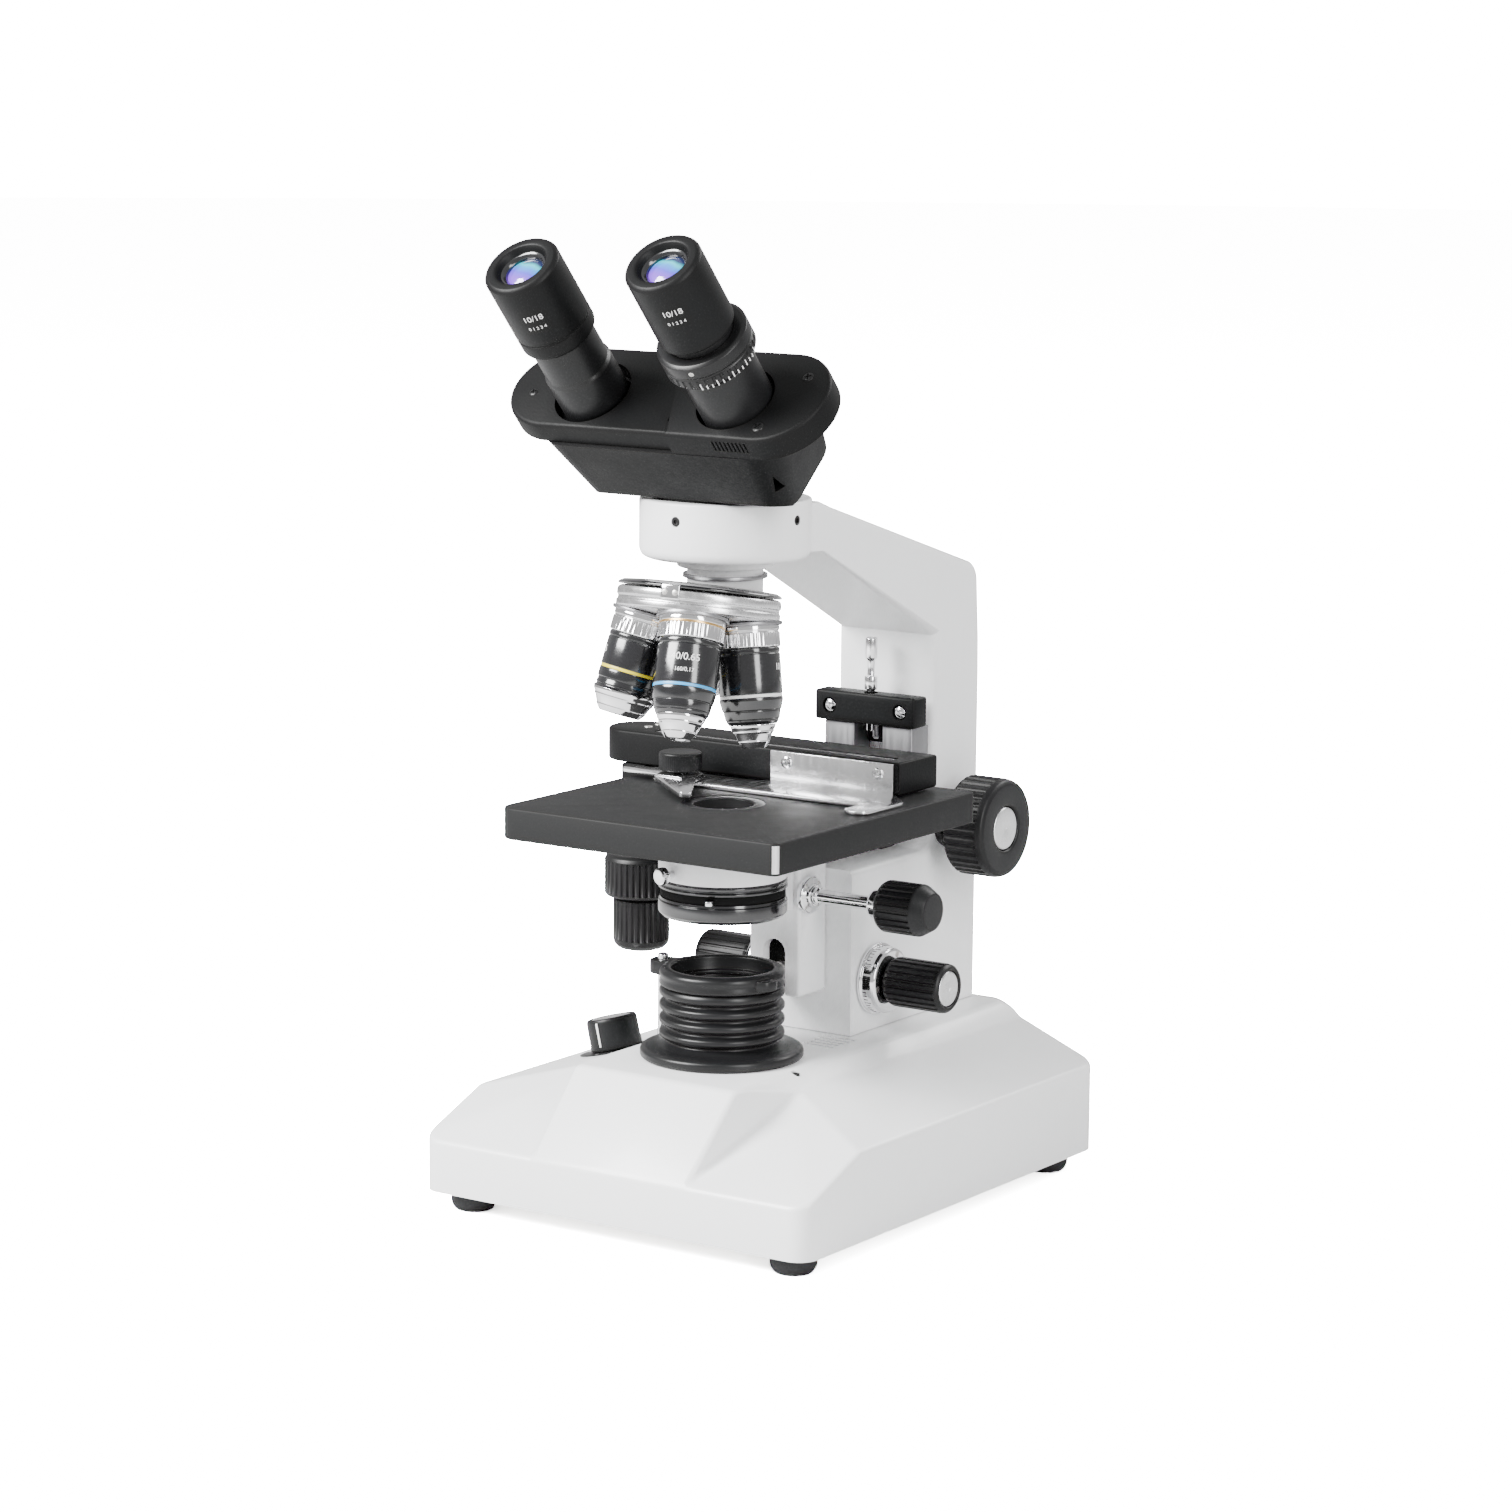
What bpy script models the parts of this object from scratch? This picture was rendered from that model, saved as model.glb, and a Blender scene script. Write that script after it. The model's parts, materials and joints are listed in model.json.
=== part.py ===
"""Binocular laboratory microscope, built as separate pieces in metres, +Z up.

Sizes are worked out about the optical axis (x to the user's right, y to the rear, z up from the
table).  At the end everything hangs from one empty that puts the origin under the bounding box.
"""
import math

import bmesh
import bpy
from mathutils import Matrix, Vector

MM = 0.001

# ---- driving sizes, millimetres ----
GAP = 0.3                     # clearance between faces that touch

BASE_HALF_WIDTH = 86.0
BASE_FRONT = -72.0
BASE_REAR = 147.0
REAR_SWEEP = 16.0              # how far the rear corners stand in front of the rear wall
BASE_CORNER = 8.0
FOOT_HEIGHT = 8.0
FOOT_RADIUS = 8.8
SKIRT_FRONT_TOP = 27.7
SKIRT_SIDE_TOP = 41.5
WING_INNER_TOP = 52.0
PLATEAU_TOP = 57.5
PLATEAU_HALF_WIDTH = 36.0
STRIP_WIDTH = 7.0
WING_RISE = 0.4               # slope of the front wing facets
RAMP_RUN = 29.0               # run of the sloped front panel
BASE_WALL = 4.0
PLATE_THICKNESS = 2.0

ARM_HALF_WIDTH = 22.4
ARM_REAR = 141.5
ARM_EDGE = 5.0
COLUMN_FRONT = 110.0
BLOCK_FRONT = 53.0
BLOCK_TOP = 121.5
ARM_UNDERSIDE_LOW = 205.0     # height where the slanted underside meets the column
ARM_TOP_REAR = 232.0
RING_RADIUS = 31.6
RING_BOTTOM = 244.5
RING_TOP = 266.5
RING_BORE = 15.0

LAMP_FLANGE_RADIUS = 30.5
LAMP_RADIUS = 23.5
LAMP_BORE = 18.0
LAMP_BODY_TOP = 84.5
FILTER_RING_TOP = 91.5

STAGE_HALF_WIDTH = 62.0
STAGE_FRONT = -57.0
STAGE_REAR = 77.0
STAGE_TOP = 153.0
STAGE_THICKNESS = 11.8
STAGE_APERTURE = 11.0

CARRIAGE_HALF_WIDTH = 11.3
CARRIAGE_FRONT = 34.0
CARRIAGE_BOTTOM = 74.5
ARCH_CENTRE = 91.0             # middle of the round top of the carriage's slot
SLIDER_HALF_WIDTH = 6.2
SLIDER_DEPTH = 12.0
SLIDER_BOTTOM = 76.0
GIB_TOP = 170.0
GIB_WIDTH = 13.5
CAP_HEIGHT = 11.8
CAP_DEPTH = 9.5

COARSE_AXIS = (120.0, 131.0)
COARSE_RADIUS = 19.3
COARSE_LENGTH = 18.2
COARSE_GAP = 9.2               # arm side to the knob's inner face
PINION_RADIUS = 6.0
FINE_AXIS = (70.0, 77.5)
FINE_RADIUS = 9.5
FINE_LENGTH = 25.6
COLLAR_RADIUS = 13.8
COLLAR_NECK = (10.4, 3.0)      # radius and length of the collar's neck
COLLAR_LENGTH = 7.4

CONDENSER_RADIUS = 24.0
CONDENSER_BOTTOM = 111.4
CONDENSER_RING = 125.6        # underside of the clamping ring
CONDENSER_KNOB_AXIS = (39.2, 113.6)
CONDENSER_RISE = 1.0            # upward travel from the drawn position
CONDENSER_KNOB_START = 45.0
CONDENSER_KNOB_LENGTH = 22.5
CONDENSER_KNOB_RADIUS = 9.8

BAR_LEFT = -STAGE_HALF_WIDTH - 30.0
BAR_RIGHT = 48.0
BAR_FRONT = 45.0
BAR_DEPTH = 26.0
BAR_HEIGHT = 12.5
DRIVE_AXIS = (-STAGE_HALF_WIDTH - 12.0, 51.0)
DRIVE_UPPER_RADIUS = 14.4
DRIVE_LOWER_RADIUS = 11.0

NOSE_TILT = 10.0              # degrees
NOSE_RADIUS = 30.0
OBJECTIVE_CIRCLE = 18.0       # thread centres, from the turret's axis
SHOULDER_HEIGHT = 220.0       # height of the working objective's shoulder

HEAD_TILT = 42.0              # eyepiece axes from vertical, degrees
HEAD_CENTRE = 262.0           # height where the inclined axis meets the optical axis
PUPIL_DISTANCE = 63.0
HEAD_HALF_WIDTH = 52.0
HEAD_FRONT = -19.0
HEAD_BACK = 24.0
HEAD_LOW = 17.0
HEAD_TOP = 49.7
COVER_HALF_LENGTH = 68.0
COVER_THICKNESS = 8.6
LIP = 1.2
WELL_RADIUS = 15.0
TUBE_RADIUS = 12.0
EYEPIECE_RADIUS = 14.2
EYEPIECE_CHAMFER = 1.2
EYEPIECE_LEFT_TOP = 122.4
EYEPIECE_RIGHT_TOP = 127.0

# ---- colours: base colour, roughness, metallic ----
PAINT_WHITE = ((0.80, 0.81, 0.82), 0.38, 0.0)
BLACK_METAL = ((0.030, 0.030, 0.032), 0.45, 0.2)
BLACK_PLASTIC = ((0.022, 0.022, 0.024), 0.5, 0.0)
RUBBER = ((0.015, 0.015, 0.016), 0.8, 0.0)
STEEL = ((0.62, 0.62, 0.63), 0.3, 1.0)
CHROME = ((0.80, 0.80, 0.82), 0.12, 1.0)
GREY_METAL = ((0.35, 0.35, 0.36), 0.4, 0.8)
GLASS = ((0.75, 0.80, 0.85), 0.05, 0.0)
BOARD = ((0.05, 0.25, 0.10), 0.6, 0.0)


# ---- modelling helpers ----
def clearScene():
    for item in list(bpy.data.objects):
        bpy.data.objects.remove(item, do_unlink=True)


def makeMaterial(name, look):
    colour, rough, metal = look
    material = bpy.data.materials.new(name)
    material.use_nodes = True
    shader = material.node_tree.nodes["Principled BSDF"]
    shader.inputs["Base Color"].default_value = (*colour, 1.0)
    shader.inputs["Roughness"].default_value = rough
    shader.inputs["Metallic"].default_value = metal
    return material


def makeEmpty(name, parent, at, tilt=None):
    empty = bpy.data.objects.new(name, None)
    bpy.context.scene.collection.objects.link(empty)
    empty.parent = parent
    empty.location = Vector(at) * MM
    if tilt:
        empty.rotation_euler = [math.radians(value) for value in tilt]
    return empty


def makeObject(name, bm, look, parent, at=(0, 0, 0), tilt=None, smooth=True):
    """Turn a bmesh in millimetres into an object in metres under its parent."""
    bmesh.ops.remove_doubles(bm, verts=bm.verts, dist=1e-4)
    bmesh.ops.recalc_face_normals(bm, faces=bm.faces)
    bmesh.ops.scale(bm, verts=bm.verts, vec=(MM, MM, MM))
    mesh = bpy.data.meshes.new(name)
    bm.to_mesh(mesh)
    bm.free()
    mesh.materials.append(makeMaterial(name + "_finish", look))
    if smooth:
        mesh.shade_smooth()
        mesh.set_sharp_from_angle(angle=math.radians(35))
    item = bpy.data.objects.new(name, mesh)
    bpy.context.scene.collection.objects.link(item)
    item.parent = parent
    item.location = Vector(at) * MM
    if tilt:
        item.rotation_euler = [math.radians(value) for value in tilt]
    return item


def makeCutter(name, bm, parent, at=(0, 0, 0), tilt=None):
    cutter = makeObject(name, bm, GREY_METAL, parent, at, tilt, smooth=False)
    cutter.hide_render = True
    cutter.display_type = 'WIRE'
    return cutter


def cut(item, cutter, operation='DIFFERENCE'):
    modifier = item.modifiers.new(cutter.name, 'BOOLEAN')
    modifier.operation = operation
    modifier.object = cutter
    modifier.solver = 'EXACT'


def addBox(bm, low, high):
    """A box between two corners; returns its vertices."""
    low, high = Vector(low), Vector(high)
    made = bmesh.ops.create_cube(bm, size=1.0)["verts"]
    bmesh.ops.scale(bm, verts=made, vec=high - low)
    bmesh.ops.translate(bm, verts=made, vec=(low + high) / 2)
    return made


def boxMesh(low, high, bevel=0.0):
    bm = bmesh.new()
    addBox(bm, low, high)
    if bevel:
        bmesh.ops.bevel(bm, geom=bm.edges[:], offset=bevel, segments=1, profile=0.5,
                        affect='EDGES', clamp_overlap=True)
    return bm


def latheMesh(profile, segments=24, ring=False, turn=None):
    """Spin (radius, height) points about Z; a ring profile is closed, a solid one ends on the axis."""
    bm = bmesh.new()
    points = [bm.verts.new((radius, 0.0, height)) for radius, height in profile]
    edges = [bm.edges.new(pair) for pair in zip(points, points[1:])]
    if ring:
        edges.append(bm.edges.new((points[-1], points[0])))
    bmesh.ops.spin(bm, geom=points + edges, cent=(0, 0, 0), axis=(0, 0, 1),
                   angle=math.tau, steps=segments, use_merge=True)
    bmesh.ops.remove_doubles(bm, verts=bm.verts, dist=1e-4)
    if turn:
        bmesh.ops.rotate(bm, verts=bm.verts, cent=(0, 0, 0), matrix=turn)
    return bm


def discMesh(radius, low, high, segments=24, turn=None):
    return latheMesh([(0, high), (radius, high), (radius, low), (0, low)], segments, turn=turn)


def prismMesh(outline, low, high, turn=None):
    """Extrude an (x, y) outline from one height to another."""
    bm = bmesh.new()
    face = bm.faces.new([bm.verts.new((x, y, low)) for x, y in outline])
    made = bmesh.ops.extrude_face_region(bm, geom=[face])["geom"]
    bmesh.ops.translate(bm, verts=[v for v in made if isinstance(v, bmesh.types.BMVert)],
                        vec=(0, 0, high - low))
    if turn:
        bmesh.ops.rotate(bm, verts=bm.verts, cent=(0, 0, 0), matrix=turn)
    return bm


def arc(centre, radius, start, end, steps):
    """Points along an arc, angles in degrees."""
    return [(centre[0] + radius * math.cos(math.radians(start + (end - start) * k / steps)),
             centre[1] + radius * math.sin(math.radians(start + (end - start) * k / steps)))
            for k in range(steps + 1)]


def ribbedMesh(radius, groove, count, low, high, chamfer=0.8, bore=0.0, turn=None):
    """A knob with straight ribs round it and a chamfer at both ends, along Z."""
    bm = bmesh.new()
    levels = [(low, -chamfer), (low + chamfer, 0.0), (high - chamfer, 0.0), (high, -chamfer)]
    rings = []
    for height, inset in levels:
        rings.append([])
        for k in range(count * 2):
            angle = math.pi * k / count
            reach = radius + inset - (groove if k % 2 else 0.0)
            rings[-1].append(bm.verts.new((reach * math.cos(angle), reach * math.sin(angle), height)))
    for lower, upper in zip(rings, rings[1:]):
        for k in range(count * 2):
            j = (k + 1) % (count * 2)
            bm.faces.new((lower[k], lower[j], upper[j], upper[k]))
    if bore:
        inner = [[bm.verts.new((bore * math.cos(math.pi * k / count), bore * math.sin(math.pi * k / count),
                                height)) for k in range(count * 2)] for height in (low, high)]
        for k in range(count * 2):
            j = (k + 1) % (count * 2)
            bm.faces.new((inner[1][k], inner[1][j], inner[0][j], inner[0][k]))
            bm.faces.new((rings[0][j], rings[0][k], inner[0][k], inner[0][j]))
            bm.faces.new((rings[-1][k], rings[-1][j], inner[1][j], inner[1][k]))
    else:
        bm.faces.new(list(reversed(rings[0])))
        bm.faces.new(rings[-1])
    if turn:
        bmesh.ops.rotate(bm, verts=bm.verts, cent=(0, 0, 0), matrix=turn)
    return bm


ALONG_X = Matrix.Rotation(math.radians(90), 3, 'Y')     # turns +Z onto +X
ALONG_MINUS_X = Matrix.Rotation(math.radians(-90), 3, 'Y')
ALONG_Y = Matrix.Rotation(math.radians(-90), 3, 'X')    # turns +Z onto +Y
SIDE_ON = Matrix(((0, 0, 1), (1, 0, 0), (0, 1, 0)))     # an (x, y) outline becomes (y, z), depth in x
FRONT_ON = Matrix(((1, 0, 0), (0, 0, -1), (0, 1, 0)))   # an (x, y) outline becomes (x, z), depth in -y


# ---- base ----
def hullMesh(inset, drop):
    """The base's faceted shape, shrunk by a wall; drop moves its open underside."""
    wide = BASE_HALF_WIDTH - inset
    front, rear = BASE_FRONT + inset, BASE_REAR - inset
    bottom = FOOT_HEIGHT - drop
    low, side = SKIRT_FRONT_TOP - inset, SKIRT_SIDE_TOP - inset
    inner, top = WING_INNER_TOP - inset, PLATEAU_TOP - inset
    flat = PLATEAU_HALF_WIDTH - inset / 2
    wing = PLATEAU_HALF_WIDTH + STRIP_WIDTH - inset / 2
    nose = PLATEAU_HALF_WIDTH - 1.5 - inset / 2
    bm = bmesh.new()

    def pair(x, y, z):
        return bm.verts.new((x, y, z)), bm.verts.new((-x, y, z))

    sideRear = rear - REAR_SWEEP
    wingRear = rear - REAR_SWEEP * (wing - flat) / (wide - flat)
    under = pair(wide, front, bottom), pair(wide, sideRear, bottom), pair(flat, rear, bottom)
    corner = pair(wide, front, low)
    panel = pair(nose, front, low)
    brow = pair(flat, front + RAMP_RUN, top)
    apex = pair(wing, front + (inner - low) / WING_RISE, inner)
    shoulder = pair(wide, front + (side - low) / WING_RISE, side)
    back = pair(wide, sideRear, side), pair(wing, wingRear, inner), pair(flat, rear, top)
    for s in (0, 1):
        bm.faces.new((panel[s], corner[s], shoulder[s], apex[s]))
        bm.faces.new((panel[s], apex[s], brow[s]))
        bm.faces.new((brow[s], apex[s], back[1][s], back[2][s]))
        bm.faces.new((apex[s], shoulder[s], back[0][s], back[1][s]))
        bm.faces.new((under[0][s], under[1][s], back[0][s], shoulder[s], corner[s]))
        bm.faces.new((under[1][s], under[2][s], back[2][s], back[1][s], back[0][s]))
    bm.faces.new((panel[0], panel[1], brow[1], brow[0]))
    bm.faces.new((brow[0], brow[1], back[2][1], back[2][0]))
    bm.faces.new((under[0][0], corner[0], panel[0], panel[1], corner[1], under[0][1]))
    bm.faces.new((under[2][0], back[2][0], back[2][1], under[2][1]))
    bm.faces.new((under[0][0], under[0][1], under[1][1], under[2][1], under[2][0], under[1][0]))
    bmesh.ops.recalc_face_normals(bm, faces=bm.faces)
    return bm


WING_TILT = math.degrees(math.atan((WING_INNER_TOP - SKIRT_SIDE_TOP)
                                   / (BASE_HALF_WIDTH - PLATEAU_HALF_WIDTH - STRIP_WIDTH)))
DIMMER_X = -62.0
DIMMER_Y = 19.0
DIMMER_RADIUS = 10.0
DIMMER_HEIGHT = 13.0
DIMMER_SHAFT = 3.0
INLET = ((4.0, 16.0), (30.0, 36.0))


def wingHeight(x):
    edge = PLATEAU_HALF_WIDTH + STRIP_WIDTH
    return WING_INNER_TOP - (abs(x) - edge) * math.tan(math.radians(WING_TILT))


def makeBase(stand):
    bm = hullMesh(0.0, 0.0)
    upright = [e for e in bm.edges if abs((e.verts[0].co - e.verts[1].co).x) < 1e-6
               and abs((e.verts[0].co - e.verts[1].co).y) < 1e-6]
    bmesh.ops.bevel(bm, geom=upright, offset=BASE_CORNER, segments=3, profile=0.5, affect='EDGES')
    base = makeObject("base_housing", bm, PAINT_WHITE, stand, smooth=False)
    cut(base, makeCutter("base_hollow", hullMesh(BASE_WALL, 1.0), stand))
    cut(base, makeCutter("lamp_hole", discMesh(LAMP_BORE, PLATEAU_TOP - 9, PLATEAU_TOP + 2), stand))
    cut(base, makeCutter("dimmer_hole", discMesh(DIMMER_SHAFT + GAP, -9, 5, 16), stand,
                         (DIMMER_X, DIMMER_Y, wingHeight(DIMMER_X)), (0, -WING_TILT, 0)))
    (left, low), (right, high) = INLET
    cut(base, makeCutter("inlet_hole", boxMesh((left - GAP, BASE_REAR - 9, low - GAP),
                                               (right + GAP, BASE_REAR + 2, high + GAP)), stand))
    vents = bmesh.new()
    for k in range(4):
        y = LAMP_FLANGE_RADIUS + 4 + k * 4
        addBox(vents, (14, y, PLATEAU_TOP - 8), (27, y + 1.6, PLATEAU_TOP + 2))
    cut(base, makeCutter("vent_slots", vents, stand))

    inset = BASE_WALL + GAP
    plate = FOOT_HEIGHT + 2 * GAP
    half, back = BASE_HALF_WIDTH - inset, BASE_REAR - inset
    outline = [(-half, BASE_FRONT + inset), (half, BASE_FRONT + inset), (half, back - REAR_SWEEP),
               (PLATEAU_HALF_WIDTH - inset, back), (-PLATEAU_HALF_WIDTH + inset, back),
               (-half, back - REAR_SWEEP)]
    makeObject("base_plate", prismMesh(outline, plate, plate + PLATE_THICKNESS), GREY_METAL, stand,
               smooth=False)
    reach = FOOT_RADIUS + BASE_WALL + 1.5
    sideRear = BASE_REAR - REAR_SWEEP
    for name, x, y in (("front_left", -1, BASE_FRONT + reach), ("front_right", 1, BASE_FRONT + reach),
                       ("rear_left", -1, sideRear - reach), ("rear_right", 1, sideRear - reach)):
        foot = latheMesh([(0, FOOT_HEIGHT + GAP), (FOOT_RADIUS, FOOT_HEIGHT + GAP), (FOOT_RADIUS, 2.5),
                          (FOOT_RADIUS - 2, 0), (0, 0)], 24)
        makeObject("foot_" + name, foot, RUBBER, stand, (x * (BASE_HALF_WIDTH - reach), y, 0))
    return plate + PLATE_THICKNESS + GAP


def makeElectrics(stand, floor):
    """Lamp, supply board, inlet and dimmer inside the base."""
    socketTop = floor + 24.0
    makeObject("lamp_socket", latheMesh([(0, socketTop), (10, socketTop), (10, floor), (0, floor)], 20),
               BLACK_PLASTIC, stand)
    makeObject("lamp_bulb", latheMesh([(0, PLATEAU_TOP - 3), (3, PLATEAU_TOP - 4), (5.5, PLATEAU_TOP - 8),
                                       (5.5, socketTop + 6), (4.5, socketTop + GAP), (0, socketTop + GAP)], 20),
               GLASS, stand)
    board = boxMesh((-45, 62, floor), (8, 122, floor + 1.6))
    board = makeObject("power_board", board, BOARD, stand, smooth=False)
    parts = boxMesh((-38, 70, floor + 1), (-12, 98, floor + 22))
    cut(board, makeCutter("board_parts", parts, stand), 'UNION')
    (left, low), (right, high) = INLET
    inlet = boxMesh((left, BASE_REAR - 22, low), (right, BASE_REAR - 0.5, high), 1.0)
    inlet = makeObject("power_inlet", inlet, BLACK_PLASTIC, stand, smooth=False)
    cut(inlet, makeCutter("inlet_recess", boxMesh((left + 3, BASE_REAR - 14, low + 3),
                                                  (right - 3, BASE_REAR + 1, high - 3)), stand))
    pot = makeEmpty("dimmer_axis", stand, (DIMMER_X, DIMMER_Y, wingHeight(DIMMER_X)), (0, -WING_TILT, 0))
    under = -BASE_WALL - 1.2
    makeObject("dimmer_pot", discMesh(8, under - 11, under - GAP, 20), GREY_METAL, pot)
    r, h = DIMMER_RADIUS, DIMMER_HEIGHT
    knob = latheMesh([(0, h), (r - 1.5, h), (r, h - 1.5), (r, 0.6), (DIMMER_SHAFT, 0.6),
                      (DIMMER_SHAFT, under), (0, under)], 24)
    makeObject("dimmer_knob", knob, BLACK_PLASTIC, pot)


def makeLamp(stand):
    low = PLATEAU_TOP + GAP
    flange = low + 4.2
    outer = [(LAMP_FLANGE_RADIUS, low), (LAMP_FLANGE_RADIUS, flange - 1), (LAMP_FLANGE_RADIUS - 1, flange),
             (LAMP_RADIUS - 2, flange)]
    step = (LAMP_BODY_TOP - flange) / 4
    for k in range(4):
        z = flange + k * step
        outer += [(LAMP_RADIUS - 2, z + 0.3 * step), (LAMP_RADIUS, z + 0.45 * step),
                  (LAMP_RADIUS, z + 0.9 * step), (LAMP_RADIUS - 2, z + step)]
    bore = [(LAMP_BORE, LAMP_BODY_TOP), (LAMP_BORE, low)]
    collector = makeObject("lamp_collector", latheMesh(outer + bore, 28, ring=True), BLACK_METAL, stand)
    pinX = -(LAMP_RADIUS + 3.5)
    pin = discMesh(2.0, flange - 1, FILTER_RING_TOP + 1.5, 12)
    cut(collector, makeCutter("filter_pin", pin, stand, (pinX, 0, 0)), 'UNION')
    lens = LAMP_BORE - GAP
    makeObject("field_lens", latheMesh([(0, LAMP_BODY_TOP - 1.5), (lens * 0.6, LAMP_BODY_TOP - 2.5),
                                        (lens, LAMP_BODY_TOP - 5), (lens, LAMP_BODY_TOP - 8),
                                        (0, LAMP_BODY_TOP - 8)], 24), GLASS, stand)
    hinge = makeEmpty("filter_hinge", stand, (pinX, 0, 0))
    low = LAMP_BODY_TOP + GAP
    holder = latheMesh([(LAMP_RADIUS, low), (LAMP_RADIUS, FILTER_RING_TOP - 1.5),
                        (LAMP_RADIUS - 1.5, FILTER_RING_TOP), (LAMP_BORE + 1, FILTER_RING_TOP),
                        (LAMP_BORE + 1, low + 1.5), (LAMP_BORE - 1.5, low + 1.5), (LAMP_BORE - 1.5, low)],
                       28, ring=True)
    bmesh.ops.translate(holder, verts=holder.verts, vec=(-pinX, 0, 0))
    holder = makeObject("filter_holder", holder, BLACK_METAL, hinge)
    cut(holder, makeCutter("filter_lug", prismMesh(arc((0, 0), 5, 90, 270, 8) + [(6, -5), (6, 5)],
                                                   low + 0.7, FILTER_RING_TOP - 0.7), hinge), 'UNION')
    cut(holder, makeCutter("filter_lug_hole", discMesh(2.0 + GAP, low - 5, FILTER_RING_TOP + 5, 12), hinge))


# ---- arm ----
def makeArm(stand):
    foot = PLATEAU_TOP + GAP
    outline = [(BLOCK_FRONT, foot), (ARM_REAR, foot), (ARM_REAR, ARM_TOP_REAR - 10),
               (ARM_REAR - 3, ARM_TOP_REAR - 3.5), (ARM_REAR - 10, ARM_TOP_REAR),
               (RING_RADIUS + 4, RING_TOP - 5), (10, RING_TOP - 3), (10, RING_BOTTOM + 2),
               (RING_RADIUS, RING_BOTTOM + 0.7), (COLUMN_FRONT, ARM_UNDERSIDE_LOW),
               (COLUMN_FRONT, BLOCK_TOP + 5), (COLUMN_FRONT - 1.5, BLOCK_TOP + 1.5),
               (COLUMN_FRONT - 5, BLOCK_TOP), (BLOCK_FRONT, BLOCK_TOP)]
    bm = prismMesh(outline, -ARM_HALF_WIDTH, ARM_HALF_WIDTH, SIDE_ON)
    rim = [e for e in bm.edges if abs(e.verts[0].co.x - e.verts[1].co.x) < 1e-6
           and min(v.co.z for v in e.verts) > foot + 1 and min(v.co.y for v in e.verts) > 11]
    bmesh.ops.bevel(bm, geom=rim, offset=ARM_EDGE / 2, segments=2, profile=0.5, affect='EDGES')
    arm = makeObject("arm", bm, PAINT_WHITE, stand)
    cut(arm, makeCutter("head_ring", discMesh(RING_RADIUS, RING_BOTTOM, RING_TOP, 36), stand), 'UNION')
    cut(arm, makeCutter("head_bore", discMesh(RING_BORE, RING_BOTTOM - 5, RING_TOP + 5), stand))
    side = SLIDER_HALF_WIDTH + 2 * GAP
    tooth = COLUMN_FRONT + 3
    cutters = bmesh.new()
    addBox(cutters, (-side, COLUMN_FRONT - SLIDER_DEPTH - 0.7, SLIDER_BOTTOM - 7),
           (side, COLUMN_FRONT + 0.4, BLOCK_TOP + 8))
    cut(arm, makeCutter("slider_pocket", cutters, stand))
    cut(arm, makeCutter("rack_channel", boxMesh((-4.5, COLUMN_FRONT - 3, SLIDER_BOTTOM - 6),
                                                (4.5, tooth + 0.2, GIB_TOP - 6)), stand))
    y, z = COARSE_AXIS
    cut(arm, makeCutter("pinion_chamber", boxMesh((-7, tooth - 1, z - 8), (7, y + 8, z + 8)), stand))
    cut(arm, makeCutter("coarse_bearing", discMesh(4 + GAP, -40, 40, 24, ALONG_X), stand, (0, y, z)))
    cut(arm, makeCutter("fine_bearing", discMesh(4 + GAP, -40, 40, 24, ALONG_X), stand, (0, *FINE_AXIS)))


def makeSlideway(fine):
    """Gibs, cap bar and stop screw: they move a little with the fine focus."""
    low = BLOCK_TOP + 6.0
    front, back = COLUMN_FRONT - SLIDER_DEPTH - 0.5, COLUMN_FRONT - GAP
    inner = SLIDER_HALF_WIDTH + GAP
    for name, side in (("left", -1), ("right", 1)):
        x = sorted((side * inner, side * (inner + GIB_WIDTH)))
        makeObject("gib_" + name, boxMesh((x[0], front, low), (x[1], back, GIB_TOP), 0.6),
                   GREY_METAL, fine, smooth=False)
    half = inner + GIB_WIDTH + 2.8
    capFront = front - 3
    low = GIB_TOP + GAP
    cap = boxMesh((-half, capFront, low), (half, capFront + CAP_DEPTH, low + CAP_HEIGHT), 0.6)
    cap = makeObject("slide_cap_bar", cap, BLACK_METAL, fine, smooth=False)
    y = capFront + CAP_DEPTH / 2
    cut(cap, makeCutter("stop_hole", discMesh(2.6 + GAP, low - 4, low + CAP_HEIGHT + 4, 16), fine, (0, y, 0)))
    top = ARM_UNDERSIDE_LOW - 1.5
    stop = latheMesh([(0, top), (1.8, top), (1.8, low + CAP_HEIGHT + 6), (4.2, low + CAP_HEIGHT + 6),
                      (4.2, low + CAP_HEIGHT + 1), (2.6, low + CAP_HEIGHT + 1), (2.6, low - 3), (0, low - 3)], 16)
    makeObject("focus_stop_screw", stop, CHROME, fine, (0, y, 0))


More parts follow.
